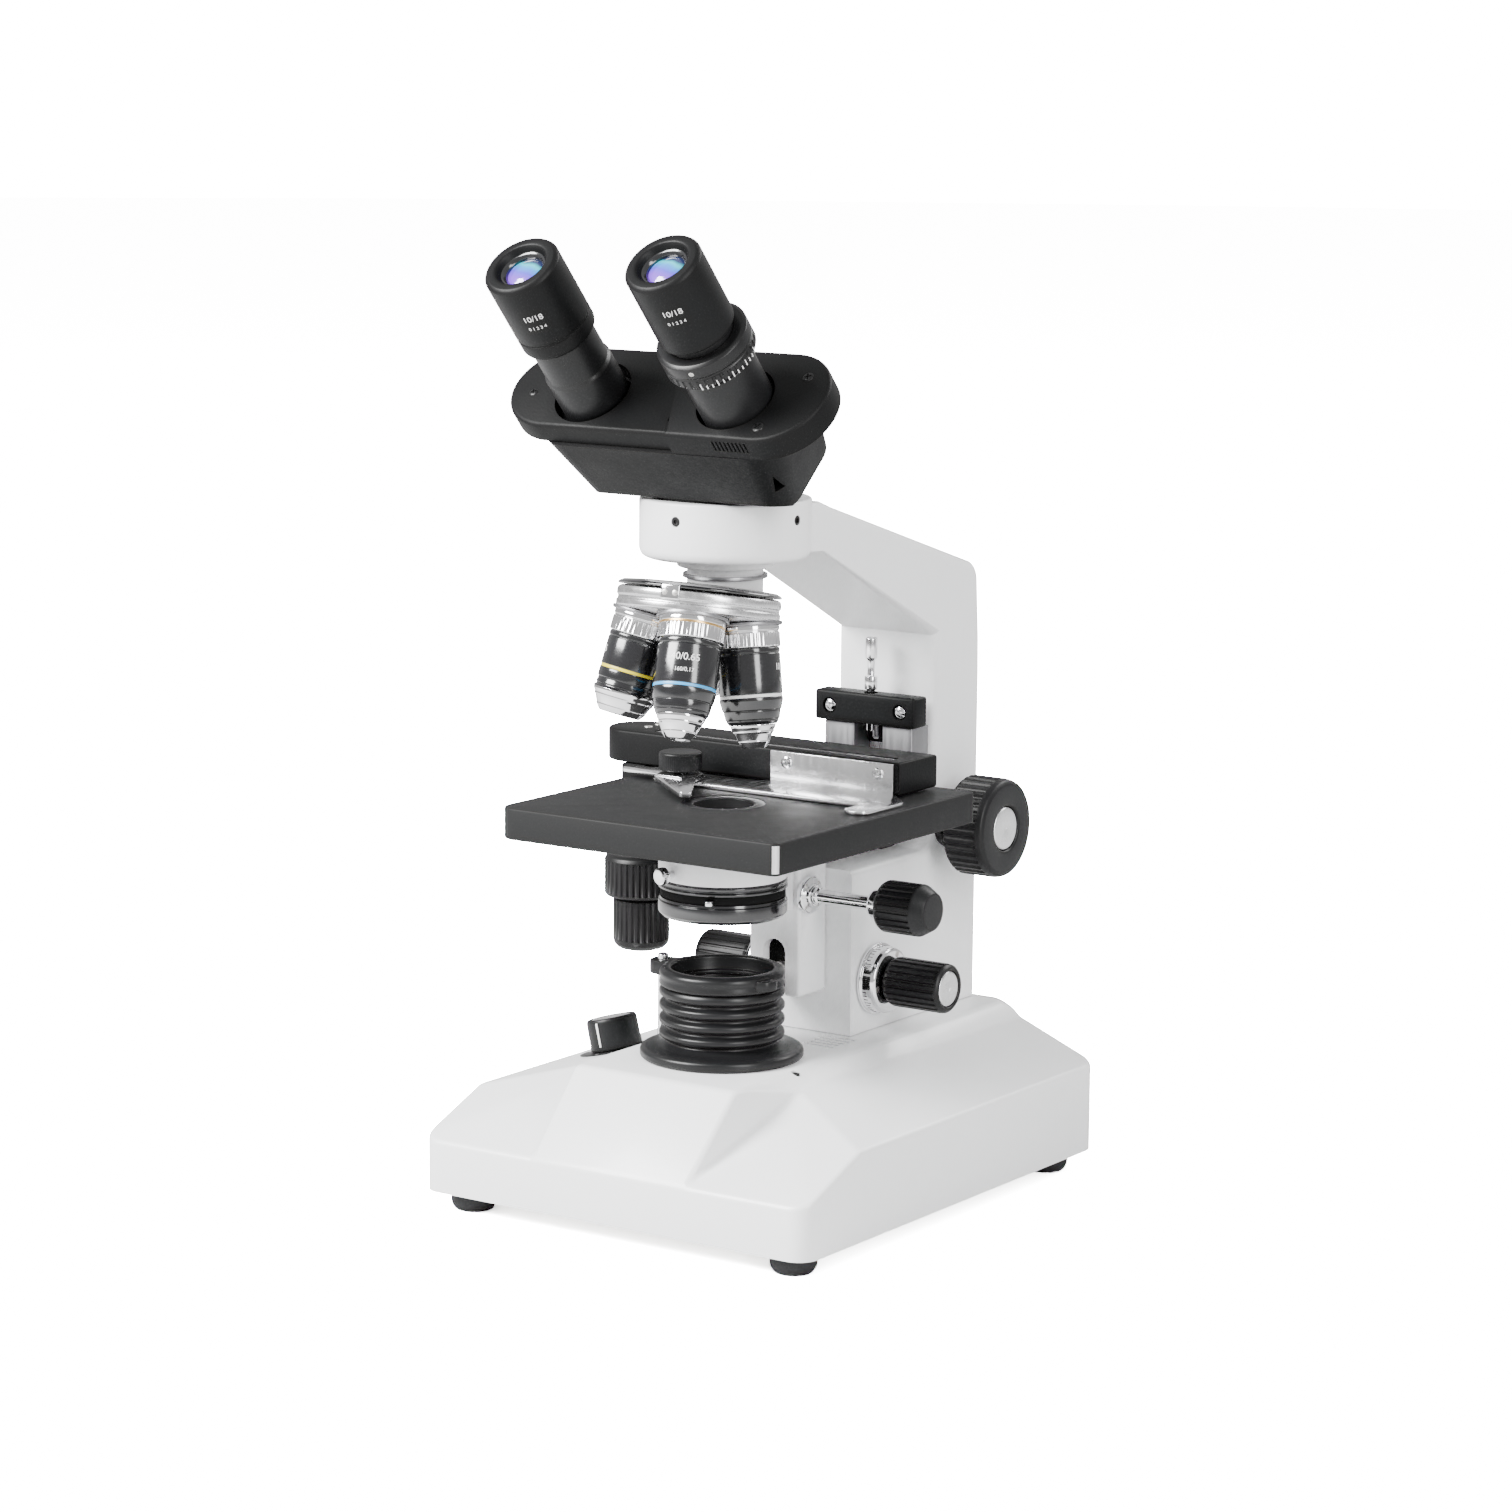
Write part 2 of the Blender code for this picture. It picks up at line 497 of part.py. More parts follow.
def makeFocusKnobs(stand):
    y, z = COARSE_AXIS
    coarse = makeEmpty("coarse_axis", stand, (0, y, z))
    start = ARM_HALF_WIDTH + COARSE_GAP
    end = start + COARSE_LENGTH
    pinion = PINION_RADIUS + 0.6
    shaft = latheMesh([(0, start), (4, start), (4, 5), (pinion, 5), (pinion, -5), (4, -5), (4, -start),
                       (0, -start)], 24, turn=ALONG_X)
    makeObject("coarse_shaft", shaft, STEEL, coarse)
    for name, turn in (("left", ALONG_MINUS_X), ("right", ALONG_X)):
        makeObject("coarse_knob_" + name, ribbedMesh(COARSE_RADIUS, 0.9, 20, start + GAP, end, 1.5, turn=turn),
                   BLACK_PLASTIC, coarse, smooth=False)
    fine = makeEmpty("fine_axis", stand, (0, *FINE_AXIS))
    collar = ARM_HALF_WIDTH + GAP
    start = collar + COLLAR_LENGTH + GAP
    makeObject("fine_shaft", latheMesh([(0, start), (4, start), (4, -start), (0, -start)], 16, turn=ALONG_X),
               STEEL, fine)
    for name, turn in (("left", ALONG_MINUS_X), ("right", ALONG_X)):
        neck, shoulder = COLLAR_NECK
        ring = latheMesh([(4 + GAP, collar), (neck, collar), (neck, collar + shoulder),
                          (COLLAR_RADIUS, collar + shoulder), (COLLAR_RADIUS, start - GAP - 1),
                          (COLLAR_RADIUS - 1, start - GAP), (4 + GAP, start - GAP)], 32, True, turn)
        makeObject("fine_scale_collar_" + name, ring, CHROME, stand, (0, *FINE_AXIS))
        makeObject("fine_knob_" + name, ribbedMesh(FINE_RADIUS, 0.7, 14, start + GAP, start + FINE_LENGTH, 1.2,
                                                   turn=turn), BLACK_PLASTIC, fine, smooth=False)


# ---- stage ----
STAGE_UNDER = STAGE_TOP - STAGE_THICKNESS
BRACKET_TOP = STAGE_UNDER - GAP
BRACKET_LOW = BRACKET_TOP - 12.5
SLIDER_FRONT = COLUMN_FRONT - SLIDER_DEPTH


def makeBracket(lift):
    slider = boxMesh((-SLIDER_HALF_WIDTH, SLIDER_FRONT, SLIDER_BOTTOM),
                     (SLIDER_HALF_WIDTH, COLUMN_FRONT - 0.4, BRACKET_TOP - 0.5))
    slider = makeObject("focus_slider", slider, GREY_METAL, lift, smooth=False)
    low, high, pitch = SLIDER_BOTTOM + 2, BRACKET_TOP - 7, 2.4
    teeth = [(COLUMN_FRONT - 3, high), (COLUMN_FRONT - 3, low)]
    z = low
    while z + pitch <= high:
        teeth += [(COLUMN_FRONT + 1.2, z), (COLUMN_FRONT + 2.6, z + 0.9), (COLUMN_FRONT + 2.6, z + 1.3)]
        z += pitch
    teeth.append((COLUMN_FRONT + 1.2, high))
    cut(slider, makeCutter("focus_rack", prismMesh(teeth, -3.5, 3.5, SIDE_ON), lift), 'UNION')

    rearFace = SLIDER_FRONT - 0.8
    bracket = boxMesh((-20, CONDENSER_RADIUS + 4.5, BRACKET_LOW), (20, rearFace, BRACKET_TOP), 0.8)
    bracket = makeObject("stage_bracket", bracket, PAINT_WHITE, lift, smooth=False)
    width, back = CARRIAGE_HALF_WIDTH, BLOCK_FRONT - GAP
    cut(bracket, makeCutter("bracket_carriage", boxMesh((-width, CARRIAGE_FRONT, CARRIAGE_BOTTOM),
                                                        (width, back, BRACKET_LOW + 4), 0.8), lift), 'UNION')
    arch = arc((0, ARCH_CENTRE), 5, 0, 180, 8) + [(-5, CARRIAGE_BOTTOM - 5), (5, CARRIAGE_BOTTOM - 5)]
    arch = prismMesh(arch, -CARRIAGE_FRONT - 12, -CARRIAGE_FRONT + 5, FRONT_ON)
    cut(bracket, makeCutter("bracket_arch", arch, lift))
    y, z = CONDENSER_KNOB_AXIS
    cut(bracket, makeCutter("condenser_pinion_chamber", boxMesh((-5.5, CARRIAGE_FRONT - 2, z - 6),
                                                                (5.5, y + 6, z + 6)), lift))
    bearing = discMesh(2.6 + GAP, 0, width + 4, 16, ALONG_X)
    cut(bracket, makeCutter("condenser_bearing", bearing, lift, (0, y, z)))


def makeStage(lift):
    half, under = STAGE_HALF_WIDTH, STAGE_UNDER
    corners = (arc((half - 3, STAGE_FRONT + 3), 3, -90, 0, 3) + arc((half - 3, STAGE_REAR - 3), 3, 0, 90, 3)
               + arc((-half + 6, STAGE_REAR - 6), 6, 90, 180, 4)
               + arc((-half + 8, STAGE_FRONT + 8), 8, 180, 270, 5))
    bm = prismMesh(corners, under, STAGE_TOP)
    rim = [e for e in bm.edges if abs(e.verts[0].co.z - e.verts[1].co.z) < 1e-6]
    bmesh.ops.bevel(bm, geom=rim, offset=0.6, segments=1, profile=0.5, affect='EDGES')
    plate = makeObject("stage_plate", bm, BLACK_METAL, lift, smooth=False)
    cut(plate, makeCutter("stage_aperture", discMesh(STAGE_APERTURE, under - 5, STAGE_TOP + 5, 28), lift))
    rail = boxMesh((-half - 6, STAGE_FRONT + 30, under + 1.5), (-half - GAP, STAGE_REAR - 2, STAGE_TOP - 3),
                   0.5)
    makeObject("stage_rail", rail, BLACK_METAL, lift, smooth=False)


def makeMechanicalStage(lift):
    """The bar that moves front to rear, the slide holder on it and the two coaxial drive knobs."""
    carriage = makeEmpty("slide_y", lift, (0, BAR_FRONT, 0))
    low = STAGE_TOP + 1.0
    r = BAR_DEPTH / 2
    outline = ([(BAR_RIGHT - BAR_LEFT, 0), (BAR_RIGHT - BAR_LEFT, BAR_DEPTH)]
               + arc((r, r), r, 90, 270, 10))
    bm = prismMesh([(x + BAR_LEFT, y) for x, y in outline], low, low + BAR_HEIGHT)
    rim = [e for e in bm.edges if abs(e.verts[0].co.z - e.verts[1].co.z) < 1e-6]
    bmesh.ops.bevel(bm, geom=rim, offset=0.8, segments=1, profile=0.5, affect='EDGES')
    makeObject("slide_bar", bm, BLACK_METAL, carriage, smooth=False)
    x, y = DRIVE_AXIS[0], DRIVE_AXIS[1] - BAR_FRONT
    lugTop = low - GAP
    lugLow = STAGE_TOP - 23.0
    right = -STAGE_HALF_WIDTH - 6 - GAP
    lug = boxMesh((2 * x - right, y - 6, lugLow), (right, y + 7, lugTop), 0.6)
    lug = makeObject("drive_bearing", lug, BLACK_METAL, carriage, smooth=False)
    cut(lug, makeCutter("drive_bearing_hole", discMesh(3.8 + GAP, lugLow - 5, lugLow + 14, 20), carriage,
                        (x, y, 0)))
    lower, upper, neck = lugLow - 50.0, lugLow - 29.0, lugLow - 12.0
    drive = makeEmpty("drive_axis", carriage, (x, y, 0))
    shaft, sleeve = 2.2, 3.8
    knob = ribbedMesh(DRIVE_UPPER_RADIUS, 0.8, 16, upper + GAP, neck, 1.0)
    knob = makeObject("drive_knob_y", knob, BLACK_PLASTIC, drive, smooth=False)
    cut(knob, makeCutter("drive_sleeve", discMesh(sleeve, neck - 3, lugLow + 8, 20), drive), 'UNION')
    cut(knob, makeCutter("drive_bore", discMesh(shaft + GAP, upper - 5, lugLow + 12, 16), drive))
    knob = ribbedMesh(DRIVE_LOWER_RADIUS, 0.7, 14, lower, upper, 1.0)
    knob = makeObject("drive_knob_x", knob, BLACK_PLASTIC, drive, smooth=False)
    cut(knob, makeCutter("drive_shaft", discMesh(shaft, upper - 3, lugLow + 11, 16), drive), 'UNION')

    holder = makeEmpty("slide_x", carriage, (0, 0, 0))
    sheet = 1.2
    foot = STAGE_TOP + 0.5
    wall = boxMesh((-9, -GAP - sheet, foot), (46, -GAP, low + BAR_HEIGHT - 0.5))
    wall = makeObject("slide_holder", wall, CHROME, holder, smooth=False)
    edge = -GAP - 0.4
    outline = [(46.2, edge), (58, -12), (58, -36), (55, -39), (50, -39), (47, -36), (47, -25), (-28, -25),
               (-38, -29), (-47, -25), (-48, -16), (-42, -10), (-12, -9), (-8.7, edge)]
    cut(wall, makeCutter("holder_foot", prismMesh(outline, foot - 0.2, foot + sheet), holder), 'UNION')
    finger = makeEmpty("finger_axis", holder, (-38, -19, 0))
    top = foot + sheet + GAP
    claw = [(-25, -3), (-6, -5), (-4, -11), (25, -36), (29, -34), (11, -6), (9, 3), (3, 7), (-5, 6), (-25, 0)]
    claw = makeObject("slide_finger", prismMesh(claw, top, top + 2.0), STEEL, finger, smooth=False)
    knob = latheMesh([(0, top + 10), (7.4, top + 10), (8.2, top + 9), (8.2, top + 2.6), (3, top + 2.3),
                      (3, top + 1), (0, top + 1)], 28)
    cut(claw, makeCutter("finger_knob", knob, finger), 'UNION')


def makeCondenser(lift):
    focus = makeEmpty("condenser_slide", lift, (0, 0, 0))
    r, low, ring = CONDENSER_RADIUS, CONDENSER_BOTTOM, CONDENSER_RING
    bore = 17.0
    ringTop = ring + 8.5
    clamp = latheMesh([(r, ring), (r, ringTop), (bore, ringTop), (bore, ring)], 28, ring=True)
    clamp = makeObject("condenser_carrier", clamp, PAINT_WHITE, focus)
    web = boxMesh((-9, bore + 4, ring - 17), (9, r + 3.9, ringTop - 1))
    cut(clamp, makeCutter("carrier_web", web, focus), 'UNION')
    tongue = boxMesh((-9, r + 2, ring - 17), (9, CARRIAGE_FRONT - GAP, BRACKET_LOW - CONDENSER_RISE - 1))
    cut(clamp, makeCutter("carrier_tongue", tongue, focus), 'UNION')
    cut(clamp, makeCutter("carrier_relief", discMesh(r + 0.5, ring - 20, ring - 0.2, 28), focus))

    iris = low + 7.6
    body = latheMesh([(r, ring - GAP), (bore - GAP, ring - GAP), (bore - GAP, ringTop + 2), (9.6, ringTop + 4),
                      (9.6, BRACKET_TOP - 1.2), (8, BRACKET_TOP - 1.2), (8, iris + 3), (r, iris + 3)], 28,
                     ring=True)
    makeObject("condenser_body", body, BLACK_METAL, focus)
    lens = latheMesh([(0, BRACKET_TOP - 1.4), (5, BRACKET_TOP - 2.2), (7.7, BRACKET_TOP - 4),
                      (7.7, BRACKET_TOP - 8), (0, BRACKET_TOP - 8)], 20)
    makeObject("condenser_lens", lens, GLASS, focus)
    cap = latheMesh([(r - 0.8, low), (r, low + 0.8), (r, iris - GAP), (bore, iris - GAP), (bore, iris + 2.7),
                     (14, iris + 2.7), (14, low + 2), (bore, low)], 28, ring=True)
    makeObject("condenser_cap", cap, BLACK_METAL, focus)
    inner, outer, tip = bore + GAP, r - 0.6, r + 5
    outline = arc((0, 0), outer, -60, 288, 28)
    for angle in (math.radians(-69), math.radians(-63)):
        outline.append((tip * math.cos(angle), tip * math.sin(angle)))
    lever = makeObject("iris_lever", prismMesh(outline, iris, iris + 2.7), STEEL, focus, smooth=False)
    cut(lever, makeCutter("iris_opening", discMesh(inner, iris - 4, iris + 7, 28), focus))

    y, z = CONDENSER_KNOB_AXIS
    axis = makeEmpty("condenser_axis", lift, (0, y, z))
    knob = CONDENSER_KNOB_START + 1
    shaft = latheMesh([(0, knob), (6, knob), (6, knob - 5), (2.6, knob - 5), (2.6, 4), (4.7, 4), (4.7, -4),
                       (0, -4)], 24, turn=ALONG_X)
    handle = ribbedMesh(CONDENSER_KNOB_RADIUS, 0.7, 14, knob - 1, knob - 1 + CONDENSER_KNOB_LENGTH, 1.2,
                        turn=ALONG_X)
    handle = makeObject("condenser_knob", handle, BLACK_PLASTIC, axis, smooth=False)
    cut(handle, makeCutter("condenser_shaft", shaft, axis), 'UNION')


# ---- turret and objectives ----
OBJECTIVES = (("objective_10x", 240.0, 38.0, 9.5), ("objective_40x", 150.0, 44.3, 6.5),
              ("objective_100x", 60.0, 44.8, 6.0), ("objective_4x", 330.0, 27.0, 11.0))


def makeNosepiece(stand):
    tilt = math.radians(NOSE_TILT)
    circle = OBJECTIVE_CIRCLE
    centre = (0, -circle * math.cos(tilt), SHOULDER_HEIGHT + circle * math.sin(tilt))
    fixed = makeEmpty("turret_axis_fixed", stand, centre, (-NOSE_TILT, 0, 0))
    turning = makeEmpty("turret_axis", stand, centre, (-NOSE_TILT, 0, 0))
    slope = math.tan(tilt)
    under, top = -(circle - 6) * slope, 10.0
    disc = latheMesh([(0, top), (NOSE_RADIUS - 1, top), (NOSE_RADIUS, top - 1),
                      (NOSE_RADIUS, (NOSE_RADIUS - circle) * slope), (6, under), (0, under)], 36)
    makeObject("nosepiece_disc", disc, STEEL, turning)

    cover = latheMesh([(0, top + 3), (NOSE_RADIUS - 2, top + 3), (NOSE_RADIUS, top + 1.6),
                       (NOSE_RADIUS, top + GAP), (0, top + GAP)], 36)
    cover = makeObject("nosepiece_mount", cover, BLACK_METAL, fixed)
    neck = latheMesh([(0, RING_BOTTOM - GAP), (17.7, RING_BOTTOM - GAP), (17.7, RING_BOTTOM - 3.5),
                      (14, RING_BOTTOM - 3.5), (14, SHOULDER_HEIGHT), (0, SHOULDER_HEIGHT)], 28)
    normal = Vector((0, math.sin(tilt), math.cos(tilt)))
    middle = Vector(centre) + normal * (top + 1.5)
    cuts = bmesh.ops.bisect_plane(neck, geom=neck.verts[:] + neck.edges[:] + neck.faces[:], plane_co=middle,
                                  plane_no=normal, clear_inner=True)["geom_cut"]
    bmesh.ops.contextual_create(neck, geom=[e for e in cuts if isinstance(e, bmesh.types.BMEdge)])
    cut(cover, makeCutter("mount_neck", neck, stand), 'UNION')
    cut(cover, makeCutter("mount_bore", discMesh(8, SHOULDER_HEIGHT, RING_BOTTOM + 5, 24), stand))

    for name, turn, length, tip in OBJECTIVES:
        angle = math.radians(turn)
        out = Matrix.Rotation(-angle, 3, 'Z')
        lean = out @ Matrix.Rotation(tilt + math.pi, 3, 'X')
        barrel = 11.6
        waist = length * 0.62
        bm = latheMesh([(0, GAP), (12, GAP), (12, 9), (barrel, 9.5), (barrel, waist), (tip + 2, length - 5),
                        (tip, length - 4.5), (tip - 1.5, length), (0, length)], 24)
        bmesh.ops.rotate(bm, verts=bm.verts, cent=(0, 0, 0), matrix=lean)
        bmesh.ops.translate(bm, verts=bm.verts, vec=out @ Vector((0, circle, 0)))
        makeObject(name, bm, BLACK_METAL, turning)


# ---- head ----
def coverOutline(side, seam):
    """Stadium-shaped end of a cover plate, closed by the seam's points."""
    middle = (HEAD_FRONT + HEAD_BACK) / 2
    r = (HEAD_BACK - HEAD_FRONT) / 2
    if side > 0:
        return arc((COVER_HALF_LENGTH - r, middle), r, -90, 90, 12) + seam
    return arc((-COVER_HALF_LENGTH + r, middle), r, 90, 270, 12) + seam


def makeHead(stand):
    head = makeEmpty("head_axis", stand, (0, 0, 0))
    inclined = makeEmpty("head_incline", head, (0, 0, HEAD_CENTRE), (HEAD_TILT, 0, 0))
    wide, front, back, low, top = HEAD_HALF_WIDTH, HEAD_FRONT, HEAD_BACK, HEAD_LOW, HEAD_TOP
    r = 12.0
    outline = (arc((wide - r, front + r), r, -90, 0, 4) + arc((wide - r, back - r), r, 0, 90, 4)
               + arc((-wide + r, back - r), r, 90, 180, 4) + arc((-wide + r, front + r), r, 180, 270, 4))
    bm = prismMesh(outline, low, top)
    tilt = math.radians(HEAD_TILT)
    sit = RING_TOP + GAP + 0.8
    up = Vector((0, math.sin(tilt), math.cos(tilt)))
    cuts = bmesh.ops.bisect_plane(bm, geom=bm.verts[:] + bm.edges[:] + bm.faces[:],
                                  plane_co=up * (sit - HEAD_CENTRE), plane_no=up, clear_inner=True)["geom_cut"]
    bmesh.ops.contextual_create(bm, geom=[e for e in cuts if isinstance(e, bmesh.types.BMEdge)])
    body = makeObject("head_body", bm, BLACK_METAL, inclined)
    spigot = latheMesh([(0, sit + 14), (27, sit + 14), (27, RING_TOP + GAP), (RING_BORE - GAP, RING_TOP + GAP),
                        (RING_BORE - GAP, RING_BOTTOM + 8), (0, RING_BOTTOM + 8)], 28)
    cut(body, makeCutter("head_spigot", spigot, head), 'UNION')
    cut(body, makeCutter("head_light_path", discMesh(9, RING_BOTTOM, sit + 10, 24), head))
    well = boxMesh((-47, front + 4, low + 12), (47, back - 5, top + 2))
    cut(body, makeCutter("head_prism_well", well, inclined))
    floor = low + 12 + GAP
    makeObject("beam_splitter", boxMesh((-9, -9, floor), (9, 9, floor + 18)), GLASS, inclined, smooth=False)
    sheet = top + COVER_THICKNESS
    makeObject("head_centre_cover", boxMesh((-10.5, front + 3, top + GAP), (10.5, back - 3, sheet - LIP - 0.6)),
               BLACK_METAL, inclined, smooth=False)

    half = PUPIL_DISTANCE / 2
    seam = [(10.0, HEAD_BACK - 43.0), (7.0, front + 14), (5.5, 0.0), (2.0, 10.0), (-3.0, 18.0), (-10.0, back)]
    left = makeEmpty("left_tube_slide", inclined, (0, 0, 0))
    right = makeEmpty("right_tube_slide", inclined, (0, 0, 0))
    makeTube("left", left, -half, sheet)
    makeTube("right", right, half, sheet)
    shrink = LIP + GAP
    end = [(12.0, back), (7.4, 12.0), (7.4, -12.0), (14.0, front)]
    bm = prismMesh(coverOutline(-1, list(reversed(end))), top + GAP, sheet)
    squeeze = 1 - 2 * shrink / (back - front)
    middle = (front + back) / 2
    for v in bm.verts:
        v.co.y = middle + (v.co.y - middle) * squeeze
    cover = makeObject("head_cover_left", bm, BLACK_METAL, left, smooth=False)
    well = discMesh(WELL_RADIUS, top - 5, sheet + 9, 28)
    cut(cover, makeCutter("cover_well_left", well, left, (-half, 0, 0)))
    cut(cover, makeCutter("cover_hollow_left", boxMesh((-16.2, front + 2.4, top - 5),
                                                       (30, back - 2.4, sheet - LIP)), left))
    cover = prismMesh(coverOutline(1, list(reversed(seam))), top + GAP, sheet + shrink)
    cover = makeObject("head_cover_right", cover, BLACK_METAL, right, smooth=False)
    well = discMesh(WELL_RADIUS, top - 5, sheet + 9, 28)
    cut(cover, makeCutter("cover_well_right", well, right, (half, 0, 0)))
    wellSide, outer = half - WELL_RADIUS - 0.6, half - 3.5
    inside = [(-40, front + LIP), (outer, front + LIP), (outer, -14), (wellSide + 4, -14), (wellSide, -9),
              (wellSide, 9), (wellSide + 4, 14), (outer, 16), (outer, back - LIP), (-40, back - LIP)]
    cut(cover, makeCutter("cover_hollow_right", prismMesh(inside, top - 5, sheet + GAP), right))


def makeTube(name, slide, x, sheet):
    """Tube with its base flange and prism, and the eyepiece that drops into it."""
    axis = makeEmpty(name + "_eyepiece_axis", slide, (x, 0, 0))
    low = HEAD_TOP + GAP
    r, tube = EYEPIECE_RADIUS, TUBE_RADIUS
    isLeft = name == "left"
    top = EYEPIECE_LEFT_TOP if isLeft else EYEPIECE_RIGHT_TOP
    sleeve = top - (34.0 if isLeft else 32.0)
    bore = tube - 1.6
    neck = tube + (0.8 if isLeft else 1.6)
    profile = [(WELL_RADIUS - GAP, low), (WELL_RADIUS - GAP, low + 2.5), (neck, low + 2.5),
               (neck, sleeve - 16), (tube, sleeve - 15), (tube, sleeve - GAP), (bore, sleeve - GAP), (bore, low)]
    makeObject(name + "_tube", latheMesh(profile, 24, ring=True), BLACK_METAL, axis)
    if not isLeft:
        ring = latheMesh([(17, sleeve - 14), (17, sleeve - 4), (16, sleeve - 3), (tube + GAP, sleeve - 3),
                          (tube + GAP, sleeve - 14)], 28, ring=True)
        makeObject("diopter_ring", ring, BLACK_METAL, axis)
    lens = r * 0.45
    barrel = bore - GAP
    eyepiece = [(0, top - 2.2), (lens * 0.6, top - 2.6), (lens, top - 3.6), (lens + 2.5, top),
                (r - EYEPIECE_CHAMFER, top), (r, top - EYEPIECE_CHAMFER), (r, sleeve), (barrel, sleeve),
                (barrel, sleeve - 20), (0, sleeve - 20)]
    makeObject("eyepiece_" + name, latheMesh(eyepiece, 24), BLACK_PLASTIC, axis)


def main():
    clearScene()
    tilt = math.radians(HEAD_TILT)
    reach = max(EYEPIECE_LEFT_TOP, EYEPIECE_RIGHT_TOP)
    forward = -(reach - EYEPIECE_CHAMFER) * math.sin(tilt) - EYEPIECE_RADIUS * math.cos(tilt)
    rear = max(BASE_REAR, ARM_REAR)
    shift = (-(BASE_HALF_WIDTH + BAR_LEFT) / 2, -(forward + rear) / 2, 0)
    stand = makeEmpty("stand_origin", None, shift)
    floor = makeBase(stand)
    makeElectrics(stand, floor)
    makeLamp(stand)
    makeArm(stand)
    fine = makeEmpty("fine_slide", stand, (0, *FINE_AXIS))
    inverse = makeEmpty("slideway", fine, (0, -FINE_AXIS[0], -FINE_AXIS[1]))
    makeSlideway(inverse)
    makeFocusKnobs(stand)
    lift = makeEmpty("stage_lift", inverse, (0, 0, 0))
    makeBracket(lift)
    makeStage(lift)
    makeMechanicalStage(lift)
    makeCondenser(lift)
    makeNosepiece(stand)
    makeHead(stand)


main()
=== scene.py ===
import json
import math
import bmesh
import bpy
from mathutils import Matrix, Vector


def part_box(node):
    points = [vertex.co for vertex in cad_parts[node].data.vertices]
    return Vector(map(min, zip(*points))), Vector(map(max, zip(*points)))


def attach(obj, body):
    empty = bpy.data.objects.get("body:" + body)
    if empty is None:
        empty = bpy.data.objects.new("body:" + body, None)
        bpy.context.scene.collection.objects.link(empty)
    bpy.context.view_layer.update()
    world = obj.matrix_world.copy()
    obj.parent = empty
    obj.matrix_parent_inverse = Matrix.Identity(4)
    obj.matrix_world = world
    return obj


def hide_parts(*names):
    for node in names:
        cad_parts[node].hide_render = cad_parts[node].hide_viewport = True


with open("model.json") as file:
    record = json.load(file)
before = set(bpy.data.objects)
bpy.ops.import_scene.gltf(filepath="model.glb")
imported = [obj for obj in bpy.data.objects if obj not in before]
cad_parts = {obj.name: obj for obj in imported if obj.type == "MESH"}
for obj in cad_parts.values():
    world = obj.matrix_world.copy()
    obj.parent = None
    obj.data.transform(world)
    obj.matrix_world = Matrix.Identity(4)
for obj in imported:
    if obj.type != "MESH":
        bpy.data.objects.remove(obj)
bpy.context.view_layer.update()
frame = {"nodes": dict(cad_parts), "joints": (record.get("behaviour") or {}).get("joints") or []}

lampLow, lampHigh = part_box("lamp_collector")
axisSpot = (lampLow + lampHigh) / 2  # the optical axis stands over the lamp
home = Matrix.Translation((axisSpot.x, axisSpot.y, 0)) @ Matrix.Diagonal((0.001, 0.001, 0.001, 1))
toHome = home.inverted()  # everything below is in millimetres about the optical axis


def box(name):
    low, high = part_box(name)
    return toHome @ low, toHome @ high


def jointFrame(name):  # a millimetre frame with +Z on the joint's axis and +X level
    joint = next(j for j in frame["joints"] if j["name"] == name)
    up = Vector(joint["axis"]).normalized()
    side = up.cross(Vector((0, -1, 0))) if abs(up.x) > 1e-4 else Vector((1, 0, 0))
    side.normalize()
    turn = Matrix((side, up.cross(side), up)).transposed()
    return Matrix.Translation(toHome @ Vector(joint["pos_m"])) @ turn.to_4x4()


def shift(x=0, y=0, z=0):
    return Matrix.Translation((x, y, z))


def turned(degrees, axis):
    return Matrix.Rotation(math.radians(degrees), 4, axis)


alongX = turned(90, "Y")  # lays +Z along +X
alongMinusX = turned(-90, "Y")
frontward = turned(90, "X")  # lays +Z along -Y, towards the user
still = Matrix.Identity(4)


class Wire:  # a shader socket that can stand in a sum
    def __init__(self, socket):
        self.socket = socket

    def run(self, operation, first, second):
        tree = self.socket.id_data
        node = tree.nodes.new("ShaderNodeMath")
        node.operation = operation
        for value, socket in ((first, node.inputs[0]), (second, node.inputs[1])):
            if isinstance(value, Wire):
                tree.links.new(value.socket, socket)
            else:
                socket.default_value = value
        return Wire(node.outputs[0])

    def __add__(self, other):
        return self.run("ADD", self, other)

    def __sub__(self, other):
        return self.run("SUBTRACT", self, other)

    def __rsub__(self, other):
        return self.run("SUBTRACT", other, self)

    def __mul__(self, other):
        return self.run("MULTIPLY", self, other)

    def __truediv__(self, other):
        return self.run("DIVIDE", self, other)

    def __mod__(self, other):
        return self.run("FLOORED_MODULO", self, other)

    def __gt__(self, other):
        return self.run("GREATER_THAN", self, other)

    def __lt__(self, other):
        return self.run("LESS_THAN", self, other)

    __radd__ = __add__
    __rmul__ = __mul__


# camera, lights and floor
view = {"place": (911, -1313, 440), "down": 9.57, "round": 34.33, "roll": 0.49, "lens": 104.8}
light = {"world": 0.66, "backdrop": 30.0, "key": 122, "fill": 36, "rim": 20, "bounce": 0.6, "paper": 22.0}


def makeCamera():
    data = bpy.data.cameras.new("camera")
    data.lens = view["lens"]
    data.sensor_width = 36
    data.clip_end = 100
    camera = bpy.data.objects.new("camera", data)
    bpy.context.scene.collection.objects.link(camera)
    spin = turned(view["round"], "Z") @ turned(90 - view["down"], "X") @ turned(view["roll"], "Z")
    camera.matrix_world = Matrix.Translation(home @ Vector(view["place"])) @ spin
    bpy.context.scene.camera = camera


